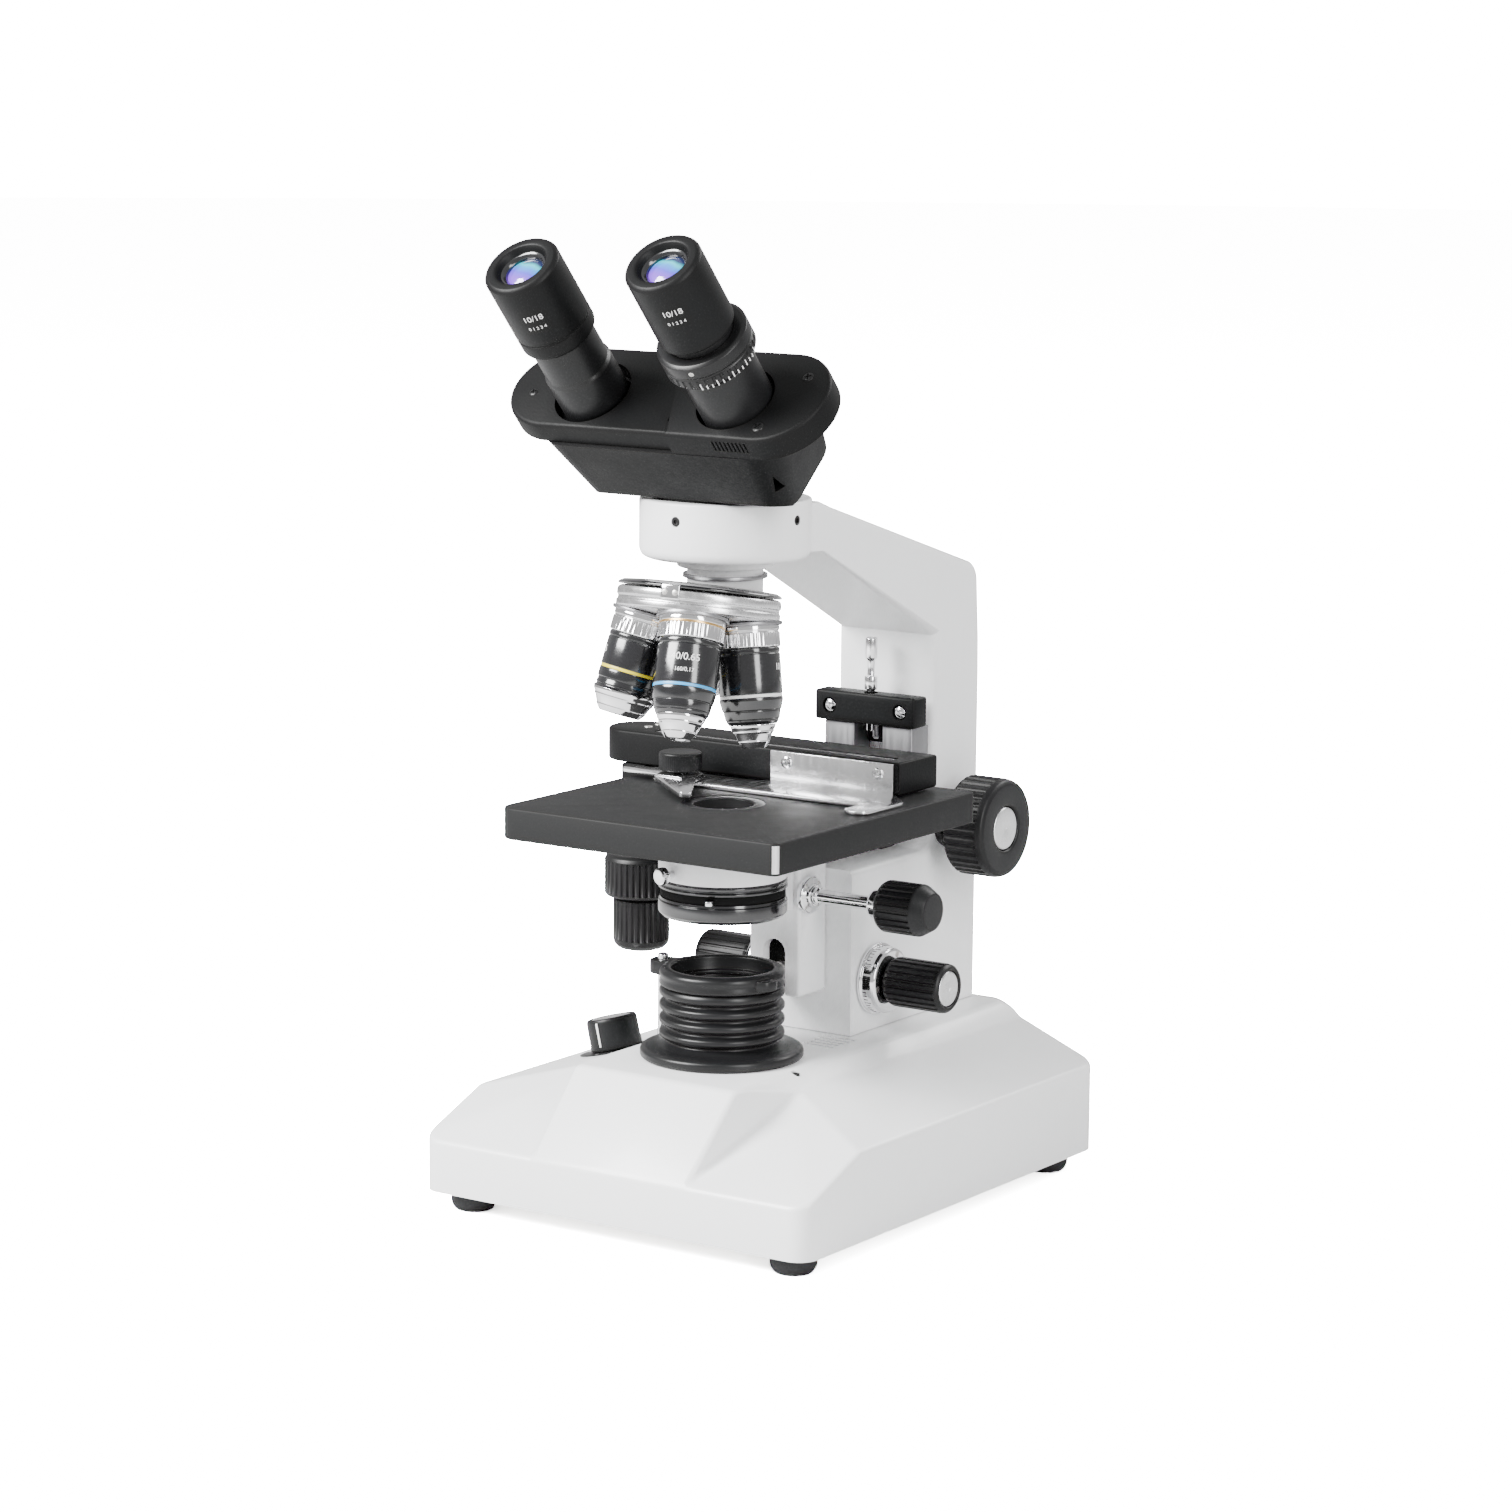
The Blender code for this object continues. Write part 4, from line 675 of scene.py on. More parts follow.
def makeElectrics():
    dress("power_board", boardGreen)
    dress("lamp_socket", plastic)
    low, high = box("lamp_bulb")
    r = (high.x - low.x) / 2
    bulb = lathe([(0, high.z), (r * 0.6, high.z - 1), (r, high.z - 5), (r, low.z + 7), (r - 1, low.z), (0, low.z)],
                 48, 1.2)
    piece("bulbEnvelope", bulb, clearGlass, "stand", "lamp_bulb")
    coil = [lathe([(1.5, k * 0.7 + high.z - 12), (1.8, k * 0.7 + high.z - 11.8), (1.5, k * 0.7 + high.z - 11.6)],
                  24, 0, True)
            for k in range(8)]
    piece("bulbFilament", together(*coil), tin, "stand")
    low, high = box("power_inlet")
    body = carve(block(low, high, 1.0, 3), block((low.x + 3, high.y - 14, low.z + 3),
                                                 (high.x - 3, high.y + 1, high.z - 3), 1.2))
    piece("inletShell", body, plastic, "stand", "power_inlet", sharp=30)
    middle = (low + high) / 2
    pins = [block((middle.x + dx - 1, high.y - 14.2, middle.z + dz - 2.2), (middle.x + dx + 1, high.y - 4,
                                                                            middle.z + dz + 2.2),
                  0.5) for dx, dz in ((-5.5, -1.2), (0, 2), (5.5, -1.2))]
    piece("inletPins", together(*pins), brushed, "stand")


makeBase()
makeFeet()
makeDimmer()
makeElectrics()
print("electrics: dimmer, inlet, bulb, board")


# lamp and filter
lamp = {"ribs": 4, "groove": 2.6, "flange": 4.2, "flangeRadius": 30.5, "bodyRadius": 23.5, "bore": 18.0}


def makeLamp():
    low, high = box("lamp_collector")
    foot = low.z
    bodyTop = box("field_lens")[1].z + 1.5
    R, r, bore = lamp["flangeRadius"], lamp["bodyRadius"], lamp["bore"]
    flange = foot + lamp["flange"]
    step = (bodyTop - flange - 1.5) / lamp["ribs"]
    profile = [(bore, bodyTop), (bore, foot), (R - 0.4, foot), (R, foot + 0.6), (R, flange - 1.2),
               (R - 1.5, flange - 0.3),
               (r + 1.2, flange + 0.2), (r - lamp["groove"], flange + 1.6)]
    for k in range(lamp["ribs"]):
        z = flange + 1.5 + k * step
        profile += [(r - lamp["groove"], z + 0.22 * step), (r - 0.3, z + 0.40 * step), (r, z + 0.62 * step),
                    (r - 0.3, z + 0.84 * step), (r - lamp["groove"], z + step)]
    profile[-1] = (r - 1.0, bodyTop)
    body = lathe(profile, 112, 0.7, True)
    piece("lampCollectorBody", body, anodised, "stand", "lamp_collector")
    pinX = jointFrame("filter_swing").translation.x
    pin = lathe([(0, high.z), (1.6, high.z), (2, high.z - 0.5), (2, flange - 1), (0, flange - 1)], 28, 0.2)
    piece("filterPin", pin, chrome, "stand", matrix=shift(pinX))
    lens = bore - 0.3
    top = box("field_lens")[1].z
    glass = lathe([(0, top), (lens * 0.35, top - 0.25), (lens * 0.7, top - 1.2), (lens - 1.2, top - 2.6),
                   (lens - 1.2, top - 6),
                   (0, top - 6)], 72, 0.4)
    piece("fieldLens", glass, clearGlass, "stand", "field_lens")
    piece("fieldDiffuser", lathe([(0, top - 6.3), (lens - 0.6, top - 6.3), (lens - 0.6, top - 7.3), (0, top - 7.3)],
                                 64, 0.2), frosted,
          "stand")
    ring = lathe([(lens - 1.3, top - 6), (lens - 1.3, top - 1.9), (lens - 0.8, top - 1.4), (lens, top - 1.4),
                  (lens, top - 6)], 72,
                 0.25, True)
    piece("lensRetainer", ring, anodised, "stand")


def makeFilterHolder():
    low, high = box("filter_holder")
    r, bore = lamp["bodyRadius"], lamp["bore"]
    foot, top = low.z, high.z
    profile = [(bore - 1.5, foot), (r - 0.6, foot), (r, foot + 0.8), (r - 0.5, foot + 3.0), (r, foot + 4.4),
               (r - 0.4, top - 1.0),
               (r - 1.8, top), (bore + 1.6, top), (bore + 1.0, top - 0.6), (bore + 1.0, foot + 1.5),
               (bore - 1.5, foot + 1.5)]
    piece("filterRing", lathe(profile, 112, 0.5, True), anodised, "filter_arm", "filter_holder")
    pinX = jointFrame("filter_swing").translation.x
    outline = arcPoints((pinX, 0), 5, 90, 270, 14) + [(pinX + 8, -6.5), (pinX + 8, 6.5)]
    lug = prism(outline, foot + 0.7, top - 0.7, 0.6)
    lug = carve(lug, moved(lathe([(0, 20), (2.3, 20), (2.3, -20), (0, -20)], 28, 0), shift(pinX, 0, foot)))
    piece("filterLug", lug, anodised, "filter_arm")
    tab = prism([(r - 2.5, -5), (r + 2.2, -3.6), (r + 3.4, -1.5), (r + 3.4, 1.5), (r + 2.2, 3.6), (r - 2.5, 5)],
                foot + 1.2, top - 1.6,
                0.7)
    piece("filterTab", tab, anodised, "filter_arm", matrix=turned(-12, "Z"))


makeLamp()
makeFilterHolder()
print("lamp: collector, lens, filter holder")


# arm
arm = {"half": 22.4, "edge": 2.6, "column": 110.0, "block": 53.0, "blockTop": 121.5, "underside": 205.0,
       "ringRadius": 31.6, "ringLow": 244.5, "ringTop": 266.5, "bore": 15.0}


def makeArm():
    low, high = box("arm")
    foot, rear, half = low.z, high.y, arm["half"]
    column, block_, top = arm["column"], arm["block"], 232.0
    R, ringLow, ringTop = arm["ringRadius"], arm["ringLow"], arm["ringTop"]
    outline = [(block_, foot), (rear, foot)]
    outline += arcPoints((rear - 9, top - 9), 9, 0, 66, 8)
    outline += [(R + 6, ringTop - 5.5), (R - 1, ringTop - 3), (10, ringTop - 3), (10, ringLow + 2),
                (R, ringLow + 0.7)]
    outline += [(column, arm["underside"])]
    outline += arcPoints((column - 5, arm["blockTop"] + 5), 5, 0, -90, 6) + [(block_, arm["blockTop"])]
    bm = prism(outline, -half, half)
    bmesh.ops.transform(bm, verts=bm.verts, matrix=Matrix(((0, 0, 1, 0), (1, 0, 0, 0), (0, 1, 0, 0), (0, 0, 0, 1))))
    bmesh.ops.recalc_face_normals(bm, faces=bm.faces)
    rim = [e for e in bm.edges if abs(e.verts[0].co.x - e.verts[1].co.x) < 1e-4
           and min(v.co.z for v in e.verts) > foot + 1 and min(v.co.y for v in e.verts) > 11]
    bmesh.ops.bevel(bm, geom=rim, offset=arm["edge"], segments=4, profile=0.5, affect="EDGES", material=-1)
    ring = lathe([(0, ringTop), (R - 0.6, ringTop), (R, ringTop - 0.6), (R, ringLow + 3.2),
                  (R - 0.9, ringLow + 1.0),
                  (R - 3, ringLow), (0, ringLow)], 128, 0.8)
    bm = carve(bm, ring, "UNION")
    bm = carve(bm, lathe([(0, ringTop + 5), (arm["bore"], ringTop + 5), (arm["bore"], ringLow - 5),
                          (0, ringLow - 5)], 64, 0))
    sliderLow, sliderHigh = box("focus_slider")
    side = sliderHigh.x + 0.6
    bm = carve(bm, block((-side, column - 12.7, sliderLow.z - 7), (side, column + 0.4, arm["blockTop"] + 8), 0))
    bm = carve(bm, block((-4.5, column - 3, sliderLow.z - 6), (4.5, column + 3.2, 164), 0))
    coarse, fine = jointFrame("coarse_turn").translation, jointFrame("fine_turn").translation
    bm = carve(bm, block((-7, column + 2, coarse.z - 8), (7, coarse.y + 8, coarse.z + 8), 0))
    for spot in (coarse, fine):
        bore = moved(lathe([(0, 40), (4.3, 40), (4.3, -40), (0, -40)], 40, 0), shift(0, spot.y, spot.z) @ alongX)
        bm = carve(bm, bore)
    holes = [shift(0, -R, 259.9) @ frontward, shift(R, 0, 259.9) @ alongX, shift(-R, 0, 259.9) @ alongMinusX]
    for spot in holes:
        bm = carve(bm, moved(lathe([(0, 2), (1.9, 2), (1.9, -5), (0, -5)], 28, 0), spot))
    piece("armCasting", bm, castWhite, "stand", "arm", sharp=36)
    setScrews = [moved(lathe([(0, -0.9), (0.9, -0.9), (0.9, -0.2), (1.7, -0.2), (1.7, -4), (0, -4)], 28, 0.1), spot)
                 for spot in holes]
    piece("ringSetScrews", together(*setScrews), anodised, "stand")
    # painted shade: a thin black slab under the arm's foot darkens the gap between the arm and the base
    gapShade = block((-half + 0.8, arm["block"] + 0.8, foot - 0.28), (half - 0.8, rear - 0.8, foot + 0.2), 0)
    piece("armFootGapShade", gapShade, rubberAndGapShade, "stand")
    print("arm: casting with ring, bores and set screws")


slideway = {"screwInset": 16.0, "screwRadius": 2.6}


def makeSlideway():
    for side in ("left", "right"):
        name = "gib_" + side
        low, high = box(name)
        piece("gib" + side.capitalize(), block(low, high, 0.5, 3), ground, "slideway", name)
    low, high = box("slide_cap_bar")
    middle = (low + high) / 2
    bar = block(low, high, 1.1, 3)
    bar = carve(bar, moved(lathe([(0, 20), (2.9, 20), (2.9, -20), (0, -20)], 32, 0), shift(0, middle.y, middle.z)))
    spots = [shift(x, low.y, middle.z) @ frontward for x in (-slideway["screwInset"], slideway["screwInset"])]
    for spot in spots:
        bar = carve(bar, moved(lathe([(0, 1), (3.1, 1), (3.1, -1.4), (0, -1.4)], 32, 0), spot))
    piece("slideCap", bar, headBlack, "slideway", "slide_cap_bar", sharp=34)
    screws("slideCapScrews", [spot @ shift(0, 0, -1.3) for spot in spots], slideway["screwRadius"], 1.5, chrome,
           "slideway", "slot")
    screw = box("focus_stop_screw")
    z, top = high.z, screw[1].z
    profile = [(0, top), (2.0, top), (2.3, top - 0.4), (2.3, z + 13.5), (1.4, z + 12.5), (1.4, z + 6.6),
               (2.5, z + 6.4),
               (2.5, z + 1.4), (1.6, z + 1.0), (1.6, screw[0].z), (0, screw[0].z)]
    piece("focusStop", lathe(profile, 48, 0.25), chrome, "slideway", "focus_stop_screw",
          shift(0, (screw[0].y + screw[1].y) / 2, 0))
    piece("focusStopTip", lathe([(0, low.z), (1.3, low.z), (1.3, 164.2), (0.8, 163.4), (0, 163.4)], 32, 0.2), satin,
          "slideway",
          matrix=shift(0, box("gib_left")[1].y - 6.5, 0))
    # painted shade: a black plate fills the visible part of the slot between the gibs, standing in for the shadow
    # inside it
    shade = block((-6.3, box("gib_left")[1].y - 1.6, 161.4), (6.3, box("gib_left")[1].y - 0.2, 170), 0.1)
    piece("slideSlotPaintedShade", shade, deepBlack, "slideway")


knob = {"coarseRibs": 36, "coarseDepth": 0.85, "fineRibs": 22, "fineDepth": 0.7, "discRadius": 8.3, "fineDisc": 6.7,
        "scaleTicks": 50}


def makeFocusKnobs():
    coarse, fine = jointFrame("coarse_turn").translation, jointFrame("fine_turn").translation
    for side, turn in (("Left", alongMinusX), ("Right", alongX)):
        low, high = box("coarse_knob_" + side.lower())
        R = (high.z - low.z) / 2
        start, end = (low.x, high.x) if side == "Right" else (-high.x, -low.x)
        spot = shift(0, coarse.y, coarse.z) @ turn
        disc = knob["discRadius"]
        profile = [(0, end - 1.6), (disc + 0.2, end - 1.6), (disc + 0.4, end - 0.5), (disc + 1.2, end),
                   (R - 2.2, end),
                   (R - 0.7, end - 0.8), (R - 0.1, end - 2.6), (R, end - 3.4), (R, start + 1.2), (R - 1.2, start),
                   (9, start), (9, start + 3),
                   (4.3, start + 3), (0, start + 3)]
        bm = flute(lathe(profile, knob["coarseRibs"] * 6, 0.4), knob["coarseRibs"], knob["coarseDepth"], R - 0.9,
                   start + 0.6,
                   end - 3.3, 0.55)
        piece("coarseKnob" + side, bm, plastic, "coarse_drive", "coarse_knob_" + side.lower(),
              spot)
        disc_ = lathe([(0, end - 0.75), (0.5, end - 0.75), (0.8, end - 0.45), (disc - 0.5, end - 0.45),
                       (disc, end - 0.8), (disc, end - 1.7),
                       (0, end - 1.7)], 72, 0.15)
        piece("coarseDisc" + side, disc_, satin, "coarse_drive", matrix=spot)
        boss = lathe([(4.4, arm["half"] + 0.1), (9.6, arm["half"] + 0.1), (9.6, arm["half"] + 2.6),
                      (8.8, arm["half"] + 3.4),
                      (4.4, arm["half"] + 3.4)], 64, 0.3, True)
        piece("coarseBoss" + side, boss, anodised, "stand", matrix=spot)
        name = "fine_scale_collar_" + side.lower()
        low, high = box(name)
        R = (high.z - low.z) / 2
        start, end = (low.x, high.x) if side == "Right" else (-high.x, -low.x)
        spot = shift(0, fine.y, fine.z) @ turn
        profile = [(4.4, start), (R - 0.5, start), (R, start + 0.5), (R, start + 1.6), (R - 1.0, start + 1.9),
                   (R - 1.0, end - 1.8),
                   (R - 1.6, end - 0.5), (R - 2.4, end), (4.4, end)]
        piece("fineCollar" + side, lathe(profile, 96, 0.25, True), chrome, "stand", name, spot)
        ticks = []
        for k in range(knob["scaleTicks"]):
            long = 2.6 if k % 5 == 0 else 1.6
            tick = block((-0.13, R - 1.06, start + 2.1), (0.13, R - 0.94, start + 2.1 + long), 0)
            ticks.append(moved(tick, turned(360 * k / knob["scaleTicks"], "Z")))
        piece("fineTicks" + side, together(*ticks), deepBlack, "stand", matrix=spot, flat=True)
        around = [turned(120 * k + 40, "Z") @ shift(R - 3.6, 0, end) for k in range(3)]
        screws("fineCollarScrews" + side, [spot @ a for a in around], 1.3, 0.12, tin, "stand", "slot")
        low, high = box("fine_knob_" + side.lower())
        R = (high.z - low.z) / 2
        start, end = (low.x, high.x) if side == "Right" else (-high.x, -low.x)
        disc = knob["fineDisc"]
        profile = [(0, end - 1.0), (disc + 0.2, end - 1.0), (disc + 0.3, end - 0.4), (disc + 0.9, end),
                   (R - 1.3, end),
                   (R - 0.2, end - 1.0), (R, end - 2.4), (R, start + 2.4), (R - 0.8, start + 0.6), (R - 2, start),
                   (0, start)]
        bm = flute(lathe(profile, knob["fineRibs"] * 8, 0.4), knob["fineRibs"], knob["fineDepth"], R - 0.5,
                   start + 1.4, end - 1.6, 0.5)
        piece("fineKnob" + side, bm, plastic, "fine_drive", "fine_knob_" + side.lower(), spot)
        disc_ = lathe([(0, end - 0.55), (0.7, end - 0.55), (0.9, end - 0.3), (disc - 0.5, end - 0.3),
                       (disc, end - 0.6), (disc, end - 1.2),
                       (0, end - 1.2)], 64, 0.12)
        piece("fineDisc" + side, disc_, satin, "fine_drive", matrix=spot)
    start = arm["half"] + 4
    shaft = lathe([(0, start), (4, start), (4, 5), (6.6, 5), (6.6, -5), (4, -5), (4, -start), (0, -start)], 20 * 4,
                  0.2)
    shaft = flute(shaft, 20, 1.0, 6.2, -5.1, 5.1, 0.5)
    piece("coarseShaft", shaft, satin, "coarse_drive", "coarse_shaft",
          shift(0, coarse.y, coarse.z) @ alongX)
    low, high = box("fine_shaft")
    piece("fineShaft", lathe([(0, high.x), (3.6, high.x), (4, high.x - 0.5), (4, low.x + 0.5), (3.6, low.x),
                              (0, low.x)], 48, 0.1), satin,
          "fine_drive", "fine_shaft", shift(0, fine.y, fine.z) @ alongX)


makeArm()
makeSlideway()
makeFocusKnobs()
print("focus: slideway, coarse and fine knobs")


# stage
stage = {"edge": 0.7, "aperture": 11.0, "recess": 15.5, "sheet": 1.2}


def makeStage():
    low, high = box("stage_plate")
    left, right, front, rear = low.x, high.x, low.y, high.y
    outline = arcPoints((right - 3, front + 3), 3, -90, 0, 6) + arcPoints((right - 3, rear - 3), 3, 0, 90, 6)
    outline += arcPoints((left + 6, rear - 6), 6, 90, 180, 8) + arcPoints((left + 8, front + 8), 8, 180, 270, 10)
    plate = prism(outline, low.z, high.z, stage["edge"], 3)
    plate = carve(plate, lathe([(0, high.z + 3), (stage["aperture"], high.z + 3), (stage["aperture"], low.z - 3),
                                (0, low.z - 3)],
                               72, 0))
    plate = carve(plate, lathe([(0, high.z + 3), (stage["recess"], high.z + 3), (stage["recess"], high.z - 0.8),
                                (0, high.z - 0.8)],
                               72, 0))
    piece("stagePlate", plate, stageBlack, "stage", "stage_plate", sharp=34)
    # painted highlight: a thin satin-metal sliver on the stage plate's rounded front-right corner, where a glint of
    # the fill light would fall
    corner = arcPoints((right - 3, front + 3), 3.04, -66, -14, 8) + arcPoints((right - 3, front + 3), 2.8, -14, -66,
                                                                              8)
    piece("stageCornerPaintedHighlight", prism(corner, low.z + 0.9, high.z - 0.9), satin, "stage")
    insert = lathe([(stage["aperture"] + 0.2, high.z - 0.75), (stage["recess"] - 0.1, high.z - 0.75),
                    (stage["recess"] - 0.1, high.z - 0.15), (stage["aperture"] + 0.9, high.z - 0.15),
                    (stage["aperture"] + 0.2, high.z - 0.5)], 96, 0.1, True)
    piece("stageInsertRing", insert, anodised, "stage")
    low, high = box("stage_rail")
    rail = block(low, high, 0.5, 3)
    rail = carve(rail, block((low.x + 1.6, low.y - 1, high.z - 0.7), (low.x + 2.8, high.y + 1, high.z + 1), 0))
    piece("stageRail", rail, headBlack, "stage", "stage_rail", sharp=34)
    ticks = []
    for k in range(44):
        y, long = low.y + 6 + k * 2.0, 1.9 if k % 5 == 0 else 1.0
        ticks.append(block((high.x - 2.6, y, high.z - 0.02), (high.x - 2.6 + long, y + 0.35, high.z + 0.04), 0))
    piece("stageRailScale", together(*ticks), satin, "stage", flat=True)
    bracket = softenEdges(nodeCopy("stage_bracket"), 0.5, 2, 40)
    piece("stageBracket", bracket, castWhite, "stage", "stage_bracket", sharp=34)
    low, high = box("stage_bracket")
    # painted shade: a thin black arch sheet sits in the carriage's arch-shaped opening, standing in for the shadow
    # inside it
    arch = arcPoints((0, 91), 4.9, 0, 180, 12) + [(-4.9, low.z + 0.6), (4.9, low.z + 0.6)]
    shade = moved(prism(arch, 0, 0.6), shift(0, 38.9, 0) @ frontward)
    piece("carriageSlotPaintedShade", shade, deepBlack, "stage")
    slot = moved(lathe([(0, 3.2), (2.4, 3.2), (3.0, 2.6), (3.0, 0), (0, 0)], 32, 0.2),
                 shift(1.2, 38.3, 84) @ frontward)
    piece("carriageSlotScrew", slot, tin, "stage")
    dress("focus_slider", ground)
    print("stage: plate, insert, rail, bracket")


# mechanical stage
def makeMechanicalStage():
    low, high = box("slide_bar")
    r = (high.y - low.y) / 2
    outline = [(high.x, low.y), (high.x, high.y)] + arcPoints((low.x + r, (low.y + high.y) / 2), r, 90, 270, 28)
    bar = prism(outline, low.z, high.z, 1.0, 3)
    bar = carve(bar, block((low.x + 24, low.y + 5.2, high.z - 0.6), (high.x - 6, low.y + 9.4, high.z + 1), 0))
    piece("crossBar", bar, headBlack, "carriage", "slide_bar", sharp=34)
    piece("crossBarStrip", block((low.x + 24.1, low.y + 5.3, high.z - 0.7), (high.x - 6.1, low.y + 9.3,
                                                                             high.z - 0.3), 0),
          brushed, "carriage")
    ticks = []
    for k in range(75):
        long = 2.8 if k % 5 == 0 else 1.7
        x = low.x + 27 + k * 1.4
        ticks.append(block((x, low.y + 9.2 - long, high.z - 0.31), (x + 0.22, low.y + 9.2, high.z - 0.26), 0))
    piece("crossBarScale", together(*ticks), deepBlack, "carriage", flat=True)
    spots = [shift(low.x + 16, low.y + 13, high.z), shift(low.x + 16, low.y + 20, high.z)]
    screws("crossBarScrews", spots, 1.7, 0.4, tin, "carriage", "cross")
    low, high = box("drive_bearing")
    lug = softenEdges(nodeCopy("drive_bearing"), 0.5, 2, 40)
    piece("driveBearing", lug, headBlack, "carriage", "drive_bearing", sharp=34)
    makeSlideHolder()
    makeStageDrive(low.z)
    print("mechanical stage: bar, holder, finger, drive knobs")


def makeSlideHolder():
    low, high = box("slide_holder")
    front = box("slide_bar")[0].y
    sheet, foot, edge = stage["sheet"], low.z + 0.2, front - 0.7
    wall = block((-9, edge - 0.8, foot), (46, front - 0.3, high.z), 0.35, 2)
    path = [(46.2, edge), (58, front - 12), (58, front - 36), (55, front - 39), (50, front - 39), (47, front - 36),
            (47, front - 25), (-28, front - 25), (-38, front - 29), (-47, front - 25), (-48, front - 16),
            (-42, front - 10), (-12, front - 9), (-8.7, edge)]
    shelf = prism(roundedPath(path, 2.2, True), low.z, foot + sheet, 0.25, 2)
    piece("slideHolder", carve(wall, shelf, "UNION"), plated, "holder", "slide_holder", sharp=34)
    face = front - 1.5
    spots = [shift(x, face, foot + 8.6) @ frontward for x in (-1.4, 39.4)]
    screws("slideHolderScrews", spots, 2.5, 0.9, chrome, "holder", "cross")
    pivot = jointFrame("finger_swing").translation
    low, high = box("slide_finger")
    top = low.z + 2.0
    claw = [(-25, -3), (-6, -5), (-4, -11), (25, -36), (29, -34), (11, -6), (9, 3), (3, 7), (-5, 6), (-25, 0)]
    claw = prism(roundedPath([(pivot.x + x, pivot.y + y) for x, y in claw], 1.2, True), low.z, top, 0.3, 2)
    rise = block((pivot.x - 3, pivot.y - 12.6, top - 1), (pivot.x + 9, pivot.y - 11.4, top + 0.6), 0.2)
    piece("slideFinger", carve(claw, rise, "UNION"), plated, "finger", "slide_finger", sharp=34)
    R, end = 8.2, high.z
    profile = [(0, end - 0.15), (R - 1.2, end - 0.1), (R - 0.9, end), (R - 0.3, end - 0.25), (R, end - 0.8),
               (R, top + 1.4),
               (R - 0.5, top + 0.9), (3, top + 0.7), (3, top - 0.4), (0, top - 0.4)]
    cap = flute(lathe(profile, 180, 0.3), 60, 0.18, R - 0.2, top + 1.5, end - 0.9, 0.5)
    piece("fingerKnob", cap, plastic, "finger", matrix=shift(pivot.x, pivot.y, 0))


def makeStageDrive(lugLow):
    axis = jointFrame("drive_x_turn").translation
    spot = shift(axis.x, axis.y, 0)
    low, high = box("drive_knob_y")
    R, neck = (high.x - low.x) / 2, lugLow - 12.0
    profile = [(2.5, high.z), (3.8, high.z), (3.8, neck + 0.4), (R - 2, neck), (R - 0.6, neck - 0.8),
               (R, neck - 2.2), (R, low.z + 1.4),
               (R - 0.8, low.z + 0.3), (R - 2, low.z), (2.5, low.z)]
    bm = flute(lathe(profile, 216, 0.3, True), 36, 0.75, R - 0.6, low.z + 1.5, neck - 2.3, 0.5)
    piece("stageKnobY", bm, plastic, "drive_y", "drive_knob_y", spot)
    low, high = box("drive_knob_x")
    R, upper = (high.x - low.x) / 2, box("drive_knob_y")[0].z - 0.3
    profile = [(0, high.z), (2.2, high.z), (2.2, upper), (R - 1.2, upper), (R, upper - 1), (R, low.z + 4.2),
               (R - 0.5, low.z + 2.4),
               (R - 2.2, low.z + 0.8), (R - 5, low.z), (0, low.z)]
    bm = flute(lathe(profile, 168, 0.3), 28, 0.7, R - 0.5, low.z + 4.3, upper - 1.1, 0.5)
    piece("stageKnobX", bm, plastic, "drive_x", "drive_knob_x", spot)


makeStage()
makeMechanicalStage()


# condenser
condenser = {"leverTurn": -66, "clampTurn": 254, "ribs": 22}


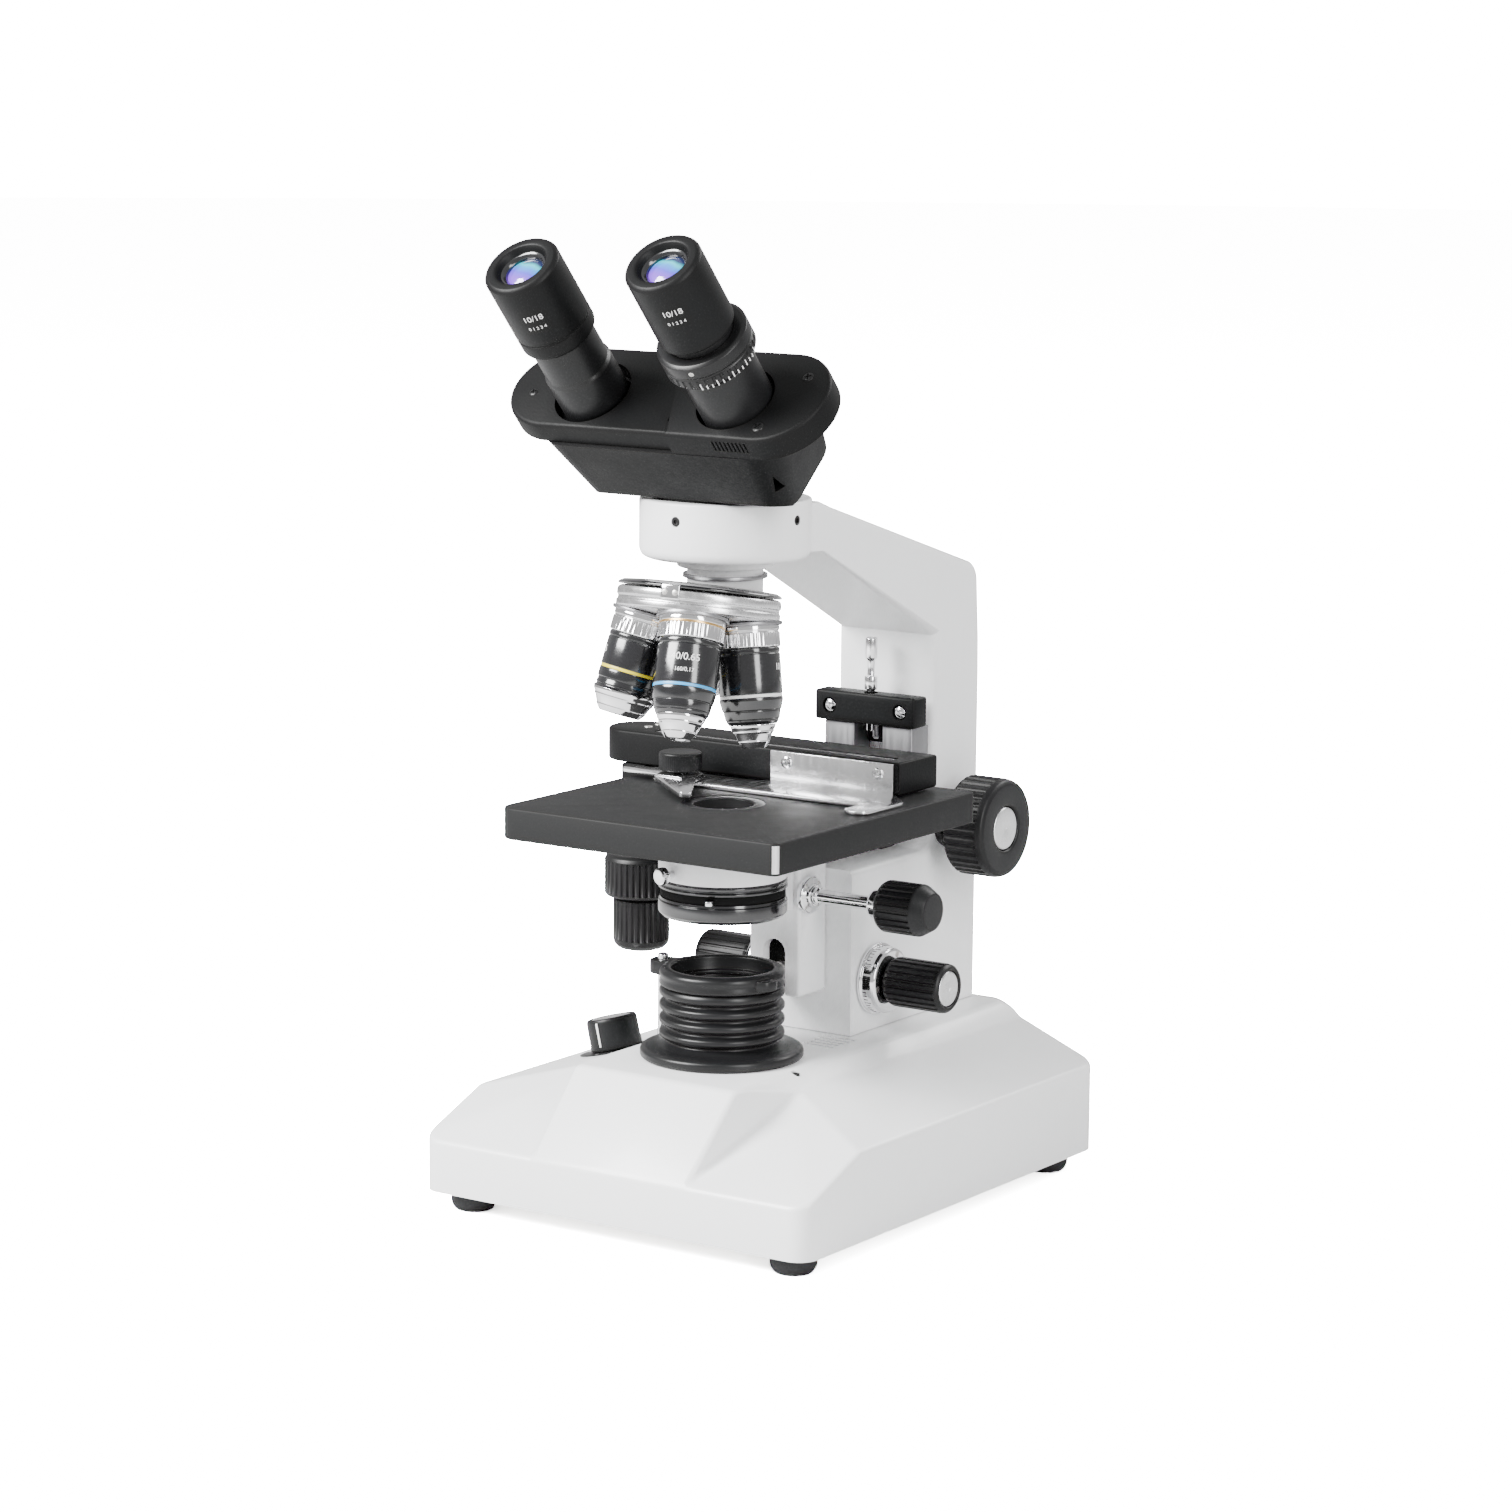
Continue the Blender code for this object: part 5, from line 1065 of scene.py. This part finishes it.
def makeCondenser():
    low, high = box("condenser_cap")
    R, bottom, iris = (high.x - low.x) / 2, low.z, box("iris_lever")[0].z
    ring, ringTop = box("condenser_body")[0].z, box("condenser_carrier")[1].z
    ringLow = ringTop - 8.5
    collar = lathe([(17, ringTop), (R - 0.6, ringTop), (R, ringTop - 0.6), (R, ringLow + 0.4), (R - 0.4, ringLow),
                    (17, ringLow)],
                   128, 0.2, True)
    carrierLow = box("condenser_carrier")[0].z
    tail = block((-9, 21, carrierLow), (9, R + 3.9, ringTop - 1), 0.4)
    tail = carve(tail, block((-9, R + 2, carrierLow), (9, box("condenser_carrier")[1].y, ringTop - 9.9), 0.4),
                 "UNION")
    tail = carve(tail, lathe([(0, ringLow - 0.2), (R + 0.5, ringLow - 0.2), (R + 0.5, bottom - 30),
                              (0, bottom - 30)], 96, 0))
    tail = carve(tail, lathe([(0, ringTop + 3), (R - 1, ringTop + 3), (R - 1, ringLow - 3), (0, ringLow - 3)], 96,
                             0))
    piece("condenserCarrier", carve(collar, tail, "UNION"), white, "condenser", "condenser_carrier",
          sharp=34)
    bodyHigh = box("condenser_body")[1].z
    lip = ringLow - 0.3
    profile = [(R - 0.2, lip), (R, lip - 0.3), (R, lip - 1.3), (R - 0.7, lip - 1.5), (R - 0.7, lip - 2.0),
               (R, lip - 2.2),
               (R, iris + 3.1), (8, iris + 3.1), (8, bodyHigh), (9.6, bodyHigh), (9.6, ringTop + 4),
               (16.7, ringTop + 2), (16.7, lip)]
    piece("condenserBody", lathe(profile, 128, 0.2, True), lacquer, "condenser", "condenser_body")
    profile = [(R - 1.4, bottom), (R - 0.2, bottom + 1.3), (R, bottom + 1.8), (R, iris - 1.6),
               (R - 0.5, iris - 1.4),
               (R - 0.5, iris - 0.3), (17, iris - 0.3), (17, iris + 2.7), (14, iris + 2.7), (14, bottom + 2),
               (17, bottom)]
    piece("condenserCap", lathe(profile, 128, 0.2, True), lacquer, "condenser", "condenser_cap")
    glass = box("condenser_lens")
    top = glass[1].z
    piece("condenserLens", lathe([(0, top), (5, top - 0.8), (7.7, top - 2.6), (7.7, glass[0].z), (0, glass[0].z)],
                                 64, 0.2),
          clearGlass, "condenser", "condenser_lens")
    spot = turned(condenser["leverTurn"], "Z")
    disc = lathe([(17.3, iris), (R - 0.7, iris), (R - 0.7, iris + 2.7), (17.3, iris + 2.7)], 96, 0.1, True)
    piece("irisRing", disc, deepBlack, "iris")
    lever = prism(roundedPath([(R - 3, -1.5), (R + 3.4, -1.5), (R + 4.6, -0.9), (R + 4.6, 0.9), (R + 3.4, 1.5),
                               (R - 3, 1.5)],
                              0.4, True), iris + 0.5, iris + 2.2, 0.25)
    piece("irisLever", lever, chrome, "iris", "iris_lever", spot)
    side = turned(condenser["clampTurn"], "Z") @ shift(R - 0.5, 0, ringLow + 3.2) @ alongX
    screw = lathe([(0, 7.2), (2.6, 7.2), (3.2, 6.6), (3.2, 4.2), (2.2, 3.6), (1.4, 3.4), (1.4, 0), (0, 0)], 72,
                  0.15)
    piece("condenserClampScrew", flute(screw, 24, 0.25, 3.0, 4.3, 6.5, 0.5), chrome, "condenser", matrix=side)
    print("condenser: carrier, rings, iris, lens")


def makeCondenserKnob():
    low, high = box("condenser_knob")
    axis = jointFrame("condenser_turn").translation
    R, end, start = (high.z - low.z) / 2, high.x, 45.3
    spot = shift(0, axis.y, axis.z) @ alongX
    profile = [(0, end), (R - 3.2, end), (R - 2.7, end - 0.2), (R - 0.2, end - 4.6), (R, end - 5.2),
               (R, start + 2.6), (R - 0.8, start + 1.2),
               (R - 3.4, start), (0, start)]
    bm = flute(lathe(profile, 8 * condenser["ribs"], 0.4), condenser["ribs"], 0.75, R - 0.6, start + 2.7, end - 5.3,
               0.5)
    piece("condenserKnob", bm, plastic, "condenser_drive", "condenser_knob", spot)
    flange = 12.1
    shaft = lathe([(0, start + 0.4), (5.4, start + 0.4), (5.4, start - 3.4), (4.8, start - 4.4), (2.8, start - 4.7),
                   (2.6, start - 5.5),
                   (2.6, flange + 5.4), (3.4, flange + 5.0), (3.4, flange + 3.6), (2.6, flange + 3.3), (2.6, -4),
                   (0, -4)], 72, 0.2)
    piece("condenserShaft", shaft, chrome, "condenser_drive", matrix=spot)
    boss = lathe([(2.8, flange + 3.2), (4.0, flange + 3.2), (4.4, flange + 2.6), (4.4, flange + 1.8),
                  (6.8, flange + 1.6), (7.2, flange + 1.2),
                  (7.2, flange - 0.7), (2.8, flange - 0.7)], 72, 0.2, True)
    piece("condenserBoss", boss, chrome, "stage", matrix=spot)
    around = [spot @ turned(90 * k + 45, "Z") @ shift(5.7, 0, flange + 1.5) for k in range(4)]
    screws("condenserBossScrews", around, 0.9, 0.4, tin, "stage", "slot")


makeCondenser()
makeCondenserKnob()
print("condenser knob: ribs, shaft, flanged boss")


# turret and objectives
turret = {"circle": 18.0, "tilt": 10.0, "radius": 30.0, "knurls": 40}
objectives = {
    "objective_10x": {"turn": 240, "length": 38.0, "tip": 9.5, "band": bandYellow, "mark": "10/0.25",
                      "small": "160/0.17", "gold": False},
    "objective_40x": {"turn": 150, "length": 44.3, "tip": 6.5, "band": bandBlue, "mark": "40/0.65",
                      "small": "160/0.17", "gold": True},
    "objective_100x": {"turn": 60, "length": 44.8, "tip": 6.0, "band": bandWhite, "mark": "100/1.25",
                       "small": "160/0.17", "gold": False},
    "objective_4x": {"turn": 330, "length": 27.0, "tip": 11.0, "band": bandRed, "mark": "4/0.10", "small": "160/-",
                     "gold": False}}


def makeTurret():
    spot = jointFrame("turret_turn")
    R, top = turret["radius"], 10.0
    slope = math.tan(math.radians(turret["tilt"]))
    under = (R - turret["circle"]) * slope
    profile = [(0, top), (R - 1.6, top), (R - 0.4, top - 0.6), (R, top - 1.6), (R, top - 3.4), (R - 0.5, top - 3.8),
               (R - 0.5, top - 5.0),
               (R, top - 5.4), (R, under + 0.6), (R - 0.5, under + 0.2), (6, -(turret["circle"] - 6) * slope),
               (0, -(turret["circle"] - 6) * slope)]
    disc = lathe(profile, 160, 0.2)
    piece("turretDisc", disc, brushed, "turret", "nosepiece_disc", spot)
    for k in range(4):
        seat = spot @ turned(-(60 + 90 * k), "Z") @ shift(0, turret["circle"], 0) @ turned(180 + turret["tilt"],
                                                                                           "X")
        ring = lathe([(10.2, -0.6), (13.2, -0.6), (13.2, 0.5), (12.6, 0.9), (10.2, 0.9)], 72, 0.2, True)
        piece("turretSeat%d" % (k + 1), ring, ground, "turret", matrix=seat)
    pivot = lathe([(0, -5.6), (3.6, -5.6), (4.4, -5), (4.4, -1.2), (0, -1.2)], 48, 0.2)
    piece("turretPivot", pivot, chrome, "turret", matrix=spot)
    profile = [(0, top + 3), (9, top + 3), (R - 9, top + 2.7), (R - 2.2, top + 2.2), (R - 0.6, top + 1.5),
               (R, top + 0.9), (R - 0.2, top + 0.3),
               (0, top + 0.3)]
    piece("turretCover", lathe(profile, 160, 0.2), lacquer, "stand", matrix=spot)
    low = arm["ringLow"]  # underside of the arm's ring
    neck = lathe([(8, low - 0.3), (17.7, low - 0.3), (17.7, low - 3.1), (17.2, low - 3.5), (14, low - 3.5),
                  (14, 231), (8, 231)], 96, 0.2, True)
    piece("turretNeck", neck, castWhite, "stand", "nosepiece_mount")
    flange = lathe([(14.05, low - 7.4), (15.6, low - 7.4), (15.6, low - 6.0), (14.05, low - 6.0)], 96, 0.2, True)
    piece("turretFlange", flange, ground, "stand")
    lug = block((-3.6, -R - 0.2, top - 4.2), (3.6, -R + 7.5, top + 1.4), 0.6, 3)
    click = moved(lug, turned(14, "Z"))
    piece("clickStop", click, chrome, "stand", matrix=spot)
    heads = [spot @ turned(14, "Z") @ shift(x, -R - 0.2, top - 1.6) @ frontward for x in (-2, 2)]
    screws("clickStopScrews", heads, 1.1, 0.3, tin, "stand", "slot")


def makeObjective(name, look):
    spot = jointFrame("turret_turn") @ turned(-look["turn"], "Z") @ shift(0, turret["circle"], 0)
    spot = spot @ turned(180 + turret["tilt"], "X")
    L, tip = look["length"], look["tip"]
    waist = L * 0.62
    label = name.replace("objective_", "obj")
    collar = [(0, 0.3), (11.4, 0.3), (12, 0.9), (12, 2.4), (11.6, 2.7), (11.6, 3.1), (12, 3.4), (12, 8.2),
              (11.7, 8.6), (0, 8.6)]
    bm = flute(lathe(collar, 240, 0.15), turret["knurls"], 0.22, 11.9, 3.5, 8.1, 0.4)
    piece(label + "Collar", bm, chrome, "turret", matrix=spot)
    if look["gold"]:
        piece(label + "GoldRing", lathe([(11, 2.5), (11.98, 2.5), (11.98, 3.3), (11, 3.3)], 96, 0.1, True), gold,
              "turret", matrix=spot)
    band = waist - 2.4
    slender = (11.6 - (tip + 2)) / (L - 5 - waist)
    barrel = [(0, 8.7), (11.3, 8.7), (11.6, 9.2), (11.6, 10.4), (11.3, 10.6), (11.3, 10.9), (11.6, 11.1),
              (11.6, band), (11.35, band + 0.15),
              (11.35, band + 1.25), (11.6, band + 1.4), (11.6, waist)]
    if L > 30:
        for k in (1, 2):
            z = waist + (L - 9 - waist) * k / 2.4
            r = 11.6 - slender * (z - waist) * 0.85
            barrel += [(r, z), (r - 0.35, z + 0.15), (r - 0.35, z + 0.7)]
        barrel += [(tip + 2.6, L - 8.4)]
    else:
        barrel += [(11.4, L - 6)]
    barrel += [(0, L - 8.4 if L > 30 else L - 6)]
    piece(label + "Barrel", lathe(barrel, 128, 0.15), lacquer, "turret", name, spot)
    ring = lathe([(11.0, band + 0.1), (11.42, band + 0.15), (11.42, band + 1.25), (11.0, band + 1.3)], 128, 0.05,
                 True)
    piece(label + "Band", ring, look["band"], "turret", matrix=spot)
    start = L - 8.4 if L > 30 else L - 6
    nose = [(0, start + 0.05), (tip + 2.4, start + 0.05), (tip + 2.2, start + 1.0), (tip + 1.5, start + 2.2),
            (tip + 1.5, start + 2.7),
            (tip + 0.9, start + 3.4), (tip - 0.2, L - 2.6), (tip - 0.2, L - 2.2), (tip - 1.6, L - 0.4),
            (tip - 2.0, L), (2.6, L), (2.4, L - 0.6), (0, L - 0.6)]
    piece(label + "Nose", lathe(nose, 128, 0.12), chrome, "turret", matrix=spot)
    piece(label + "FrontLens", lathe([(0, L - 0.25), (1.4, L - 0.35), (2.3, L - 0.55), (2.3, L - 0.62),
                                      (0, L - 0.62)], 40, 0.05), clearGlass,
          "turret", matrix=spot)
    marks = []
    for angle in (0, 180):
        marks.append(wrapped(moved(numerals(look["mark"], 3.6), turned(180, "Z")), 11.6, 16.0, angle))
        marks.append(wrapped(moved(numerals(look["small"], 2.1), turned(180, "Z")), 11.6, 20.6, angle))
    if L < 30:
        for mark in marks:
            bmesh.ops.translate(mark, verts=mark.verts, vec=(0, 0, -3.4))
            bmesh.ops.delete(mark, geom=[v for v in mark.verts if v.co.z > band], context="VERTS")
    piece(label + "Figures", together(*marks), bandWhite, "turret", matrix=spot, flat=True)


makeTurret()
for objectiveName, objectiveLook in objectives.items():
    makeObjective(objectiveName, objectiveLook)
print("turret: disc, cover, neck, four objectives")


# binocular head
head = {"wide": 52.0, "front": -19.0, "back": 24.0, "low": 17.0, "lip": 1.2, "well": 15.0, "cover": 68.0,
        "corner": 12.0,
        "taper": 0.16, "gap": 0.3, "ridges": 9}
headFrame = jointFrame("diopter_turn")
half = headFrame.translation.x
headFrame = headFrame @ shift(-half, 0, 0)
toHead = headFrame.inverted()
headRest = arm["ringTop"]  # the head's spigot stands on the arm's ring
headScrewSpots = ((-12.5, 9.0), (6.5, 8.0), (1.0, 13.5))
eyeBlack = paintFinish("eyepieceBlack", (0.004, 0.004, 0.0043), 0.44, 1300, 0.00008, 0.14)


def headPlan():
    wide, front, back, r = head["wide"], head["front"], head["back"], head["corner"]
    return (arcPoints((wide - r, front + r), r, -90, 0, 10) + arcPoints((wide - r, back - r), r, 0, 90, 10)
            + arcPoints((-wide + r, back - r), r, 90, 180, 10) + arcPoints((-wide + r, front + r), r, 180, 270, 10))


def makeHeadBody():
    top, low = 49.7, head["low"]
    bm = prism(headPlan(), low, top)
    for v in bm.verts:
        if v.co.z < top - 1:
            v.co.x *= 1 - head["taper"]
            v.co.y = head["back"] + (v.co.y - head["back"]) * 0.94
    bmesh.ops.recalc_face_normals(bm, faces=bm.faces)
    sit = headRest + 1.1
    flat = moved(block((-90, -90, -60), (90, 90, sit), 0), toHead)
    bm = carve(bm, flat)
    softenEdges(bm, 1.6, 3, 30, lambda e: max(v.co.z for v in e.verts) > top - 0.1)
    well = block((-47 * 0.96, head["front"] + 4, low + 12), (47 * 0.96, head["back"] - 5, top + 2), 0)
    bm = carve(bm, well)
    bm = moved(bm, headFrame)
    spigot = lathe([(0, sit + 8), (27, sit + 8), (27, headRest + 0.3), (14.7, headRest + 0.3),
                    (14.7, headRest - 13.9), (0, headRest - 13.9)],
                   96, 0.2)
    bm = carve(bm, spigot, "UNION")
    bm = carve(bm, lathe([(0, sit + 14), (9, sit + 14), (9, headRest - 30), (0, headRest - 30)], 48, 0))
    holes = [headFrame @ shift(x, head["front"] - 0.1 + down * 0.075, 49.7 - down) @ frontward for x,
             down in headScrewSpots]
    for spot in holes:
        bm = carve(bm, moved(lathe([(0, 3), (3.0, 3), (3.0, -2.2), (0, -2.2)], 32, 0), spot))
    piece("headCasting", bm, headBlack, "head", "head_body", sharp=34)
    screws("headFrontScrews", [spot @ shift(0, 0, -2.2) for spot in holes], 2.4, 1.5, anodised, "head", "cross")
    floor = block((-46, head["front"] + 4.4, 48.2), (46, head["back"] - 5.4, 48.8), 0)
    for x in (-half, half):
        floor = carve(floor, moved(lathe([(0, 60), (11.4, 60), (11.4, 40), (0, 40)], 48, 0), shift(x, 0, 0)))
    piece("headBaffle", floor, deepBlack, "head", matrix=headFrame)
    dress("beam_splitter", clearGlass)


def coverOutline(side, seam):
    middle, r = (head["front"] + head["back"]) / 2, (head["back"] - head["front"]) / 2
    if side > 0:
        return arcPoints((head["cover"] - r, middle), r, -90, 90, 40) + seam
    return arcPoints((-head["cover"] + r, middle), r, 90, 270, 40) + seam


def roundRim(bm, top, width):  # only the outer upper rim, away from the seam
    rim = [e for e in bm.edges if all(abs(v.co.z - top) < 1e-3 for v in e.verts)
           and (max(abs(v.co.y - 2.5) for v in e.verts) > 18 or min(abs(v.co.x) for v in e.verts) > 46)]
    bmesh.ops.bevel(bm, geom=rim, offset=width, segments=4, profile=0.5, affect="EDGES", material=-1)
    return bm


def makeCovers():
    top, sheet = 50.0, 58.3
    front, back, lip, well = head["front"], head["back"], head["lip"], head["well"]
    shrink = lip + head["gap"]
    left = prism(coverOutline(-1, [(14, front), (7.4, -12), (7.4, 12), (12, back)]), top, sheet)
    squeeze, middle = 1 - 2 * shrink / (back - front), (front + back) / 2
    for v in left.verts:
        v.co.y = middle + (v.co.y - middle) * squeeze
    left = roundRim(left, sheet, 1.6)
    left = carve(left, block((-16.2, front + 2.4, top - 5), (30, back - 2.4, sheet - lip), 0))
    left = dishWell(left, -half, sheet)
    left = gripRidges(left, -42, front + shrink * 0.6, sheet)
    piece("headCoverLeft", left, headBlack, "left_ocular", "head_cover_left", headFrame, 34)
    seam = [(-10.0, back), (-3.0, 18.0), (2.0, 10.0), (5.5, 0.0), (7.0, front + 14), (10.0, back - 43.0)]
    right = prism(coverOutline(1, seam), top, sheet + shrink)
    right = roundRim(right, sheet + shrink, 1.6)
    wellSide, outer = half - well - 0.6, half - 3.5
    inside = [(-40, front + lip), (outer, front + lip), (outer, -14), (wellSide + 4, -14), (wellSide, -9),
              (wellSide, 9),
              (wellSide + 4, 14), (outer, 16), (outer, back - lip), (-40, back - lip)]
    right = carve(right, prism(inside, top - 5, sheet + 0.3))
    right = dishWell(right, half, sheet + shrink)
    right = gripRidges(right, 30, front, sheet + shrink)
    piece("headCoverRight", right, headBlack, "right_ocular", "head_cover_right", headFrame, 34)
    low, high = 50.0, sheet - lip - 0.6
    piece("headCentreCover", block((-10.5, front + 3, low), (10.5, back - 3, high), 0.4), headBlack, "head",
          "head_centre_cover",
          headFrame)
    spots = [headFrame @ shift(-half - 25.5, -2, sheet - 0.35)]
    screws("leftCoverScrew", spots, 1.9, 0.8, anodised, "left_ocular", "cross")
    spots = [headFrame @ shift(half + x, y, sheet + shrink - z) for x, y, z in ((24.5, 12.5, 0.45),
                                                                                (16, -12.5, 0.35))]
    screws("rightCoverScrews", spots, 2.3, 0.9, anodised, "right_ocular", "cross")


def dishWell(bm, x, top):
    return carve(bm, moved(lathe([(0, top + 8), (15, top + 8), (15, 45), (0, 45)], 96, 0), shift(x, 0, 0)))


def gripRidges(bm, x, front, top):
    for k in range(head["ridges"]):
        bm = carve(bm, block((x + k * 1.7, front - 1, top - 6.6), (x + k * 1.7 + 0.7, front + 0.55, top - 1.9), 0))
    return bm


def makeTube(side, body, x, top):
    isLeft = side == "left"
    spot = headFrame @ shift(x, 0, 0)
    sleeve, low, well = top - (34.0 if isLeft else 32.0), 50.0, head["well"]
    neck, bore = 12.8 if isLeft else 13.6, 10.4
    profile = [(well - 0.3, low), (well - 0.3, low + 2.2), (well - 0.6, low + 2.5), (neck + 0.6, low + 2.5),
               (neck, low + 3.1), (neck, sleeve - 16.4),
               (12.1, sleeve - 15.2), (12, sleeve - 1), (11.7, sleeve - 0.3), (bore, sleeve - 0.3), (bore, low)]
    piece(side + "TubeBody", lathe(profile, 128, 0.3, True), anodised, body, side + "_tube", spot)
    R, name = 14.2, "eyepiece_" + side
    profile = [(0, top - 5.0), (7.6, top - 5.0), (7.9, top - 4.6), (8.3, top - 3.0), (9.3, top - 0.9),
               (9.9, top - 0.15), (10.6, top), (R - 1.5, top),
               (R - 0.85, top - 0.42), (R - 0.42, top - 0.85), (R, top - 1.5), (R, sleeve + 1.2),
               (R - 0.3, sleeve + 0.4), (R - 0.9, sleeve), (bore - 0.3, sleeve),
               (bore - 0.3, sleeve - 20), (0, sleeve - 20)]
    if isLeft:
        grooved = profile[:11] + [(R, sleeve + 7.2), (R - 0.35, sleeve + 7.0), (R - 0.35, sleeve + 6.4),
                                  (R, sleeve + 6.2)] + profile[11:]
    else:
        grooved = profile
    piece(side + "Eyepiece", lathe(grooved, 144, 0.25), eyeBlack, body, name, spot)
    stop = lathe([(6.6, top - 4.6), (7.6, top - 4.6), (8.2, top - 3.2), (8.5, top - 2.3), (7.8, top - 2.6),
                  (7.0, top - 3.4)], 96, 0.1, True)
    piece(side + "LensRetainer", stop, lacquer, body, matrix=spot)
    lens = lathe([(0, top - 2.7), (2, top - 2.78), (4, top - 3.1), (5.6, top - 3.6), (6.9, top - 4.3),
                  (6.9, top - 4.9), (0, top - 4.9)], 96, 0.15)
    planar = lens.loops.layers.uv.active
    for face in lens.faces:
        for loop in face.loops:
            loop[planar].uv = (loop.vert.co.x, loop.vert.co.y)
    piece(side + "EyeLens", lens, paintedReflectionLens, body, matrix=spot)
    figures = wrapped(numerals("10/18", 3.4), R, sleeve + 20, 24)
    figures = together(figures, wrapped(numerals("0 1 2 3 4", 1.9), R, sleeve + 15.6, 24))
    piece(side + "EyepieceFigures", figures, bandWhite, body, matrix=spot, flat=True)
    if not isLeft:
        makeDiopter(spot, sleeve)


def makeDiopter(spot, sleeve):
    high, low, R = sleeve - 3, sleeve - 14, 17.0
    profile = [(12.3, high), (R - 1.3, high), (R, high - 0.9), (R, high - 5.2), (R - 0.4, high - 5.6),
               (R - 0.4, high - 6.2), (R, high - 6.6),
               (R, low + 1.2), (R - 0.9, low), (12.3, low)]
    ring = flute(lathe(profile, 288, 0.25, True), 36, 0.5, R - 0.1, low + 1.3, high - 6.7, 0.45)
    piece("diopterRing", ring, anodised, "diopter", "diopter_ring", spot)
    ticks = []
    for k in range(-6, 7):
        long = 2.4 if k % 3 == 0 else 1.4
        tick = block((-0.2, -R - 0.03, low - 0.1 + 0.4), (0.2, -R + 0.4, low + 0.4 + long), 0)
        ticks.append(moved(tick, turned(58 + 7 * k, "Z")))
    piece("diopterTicks", together(*ticks), bandWhite, "diopter", matrix=spot, flat=True)
    pin = spot @ turned(12, "Z") @ shift(0, -R + 0.1, high - 3) @ frontward
    screws("diopterScrew", [pin], 1.0, 0.25, tin, "diopter", "slot")


makeHeadBody()
makeCovers()
makeTube("left", "left_ocular", -half, 122.4)
makeTube("right", "right_ocular", half, 127.0)
print("head: casting, covers, tubes, eyepieces, diopter ring")

left = [n for n, item in frame["nodes"].items() if not item.get("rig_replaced") and not item.hide_render]
print("pieces: %d made, %d CAD nodes still shown" % (len(made), len(left)))
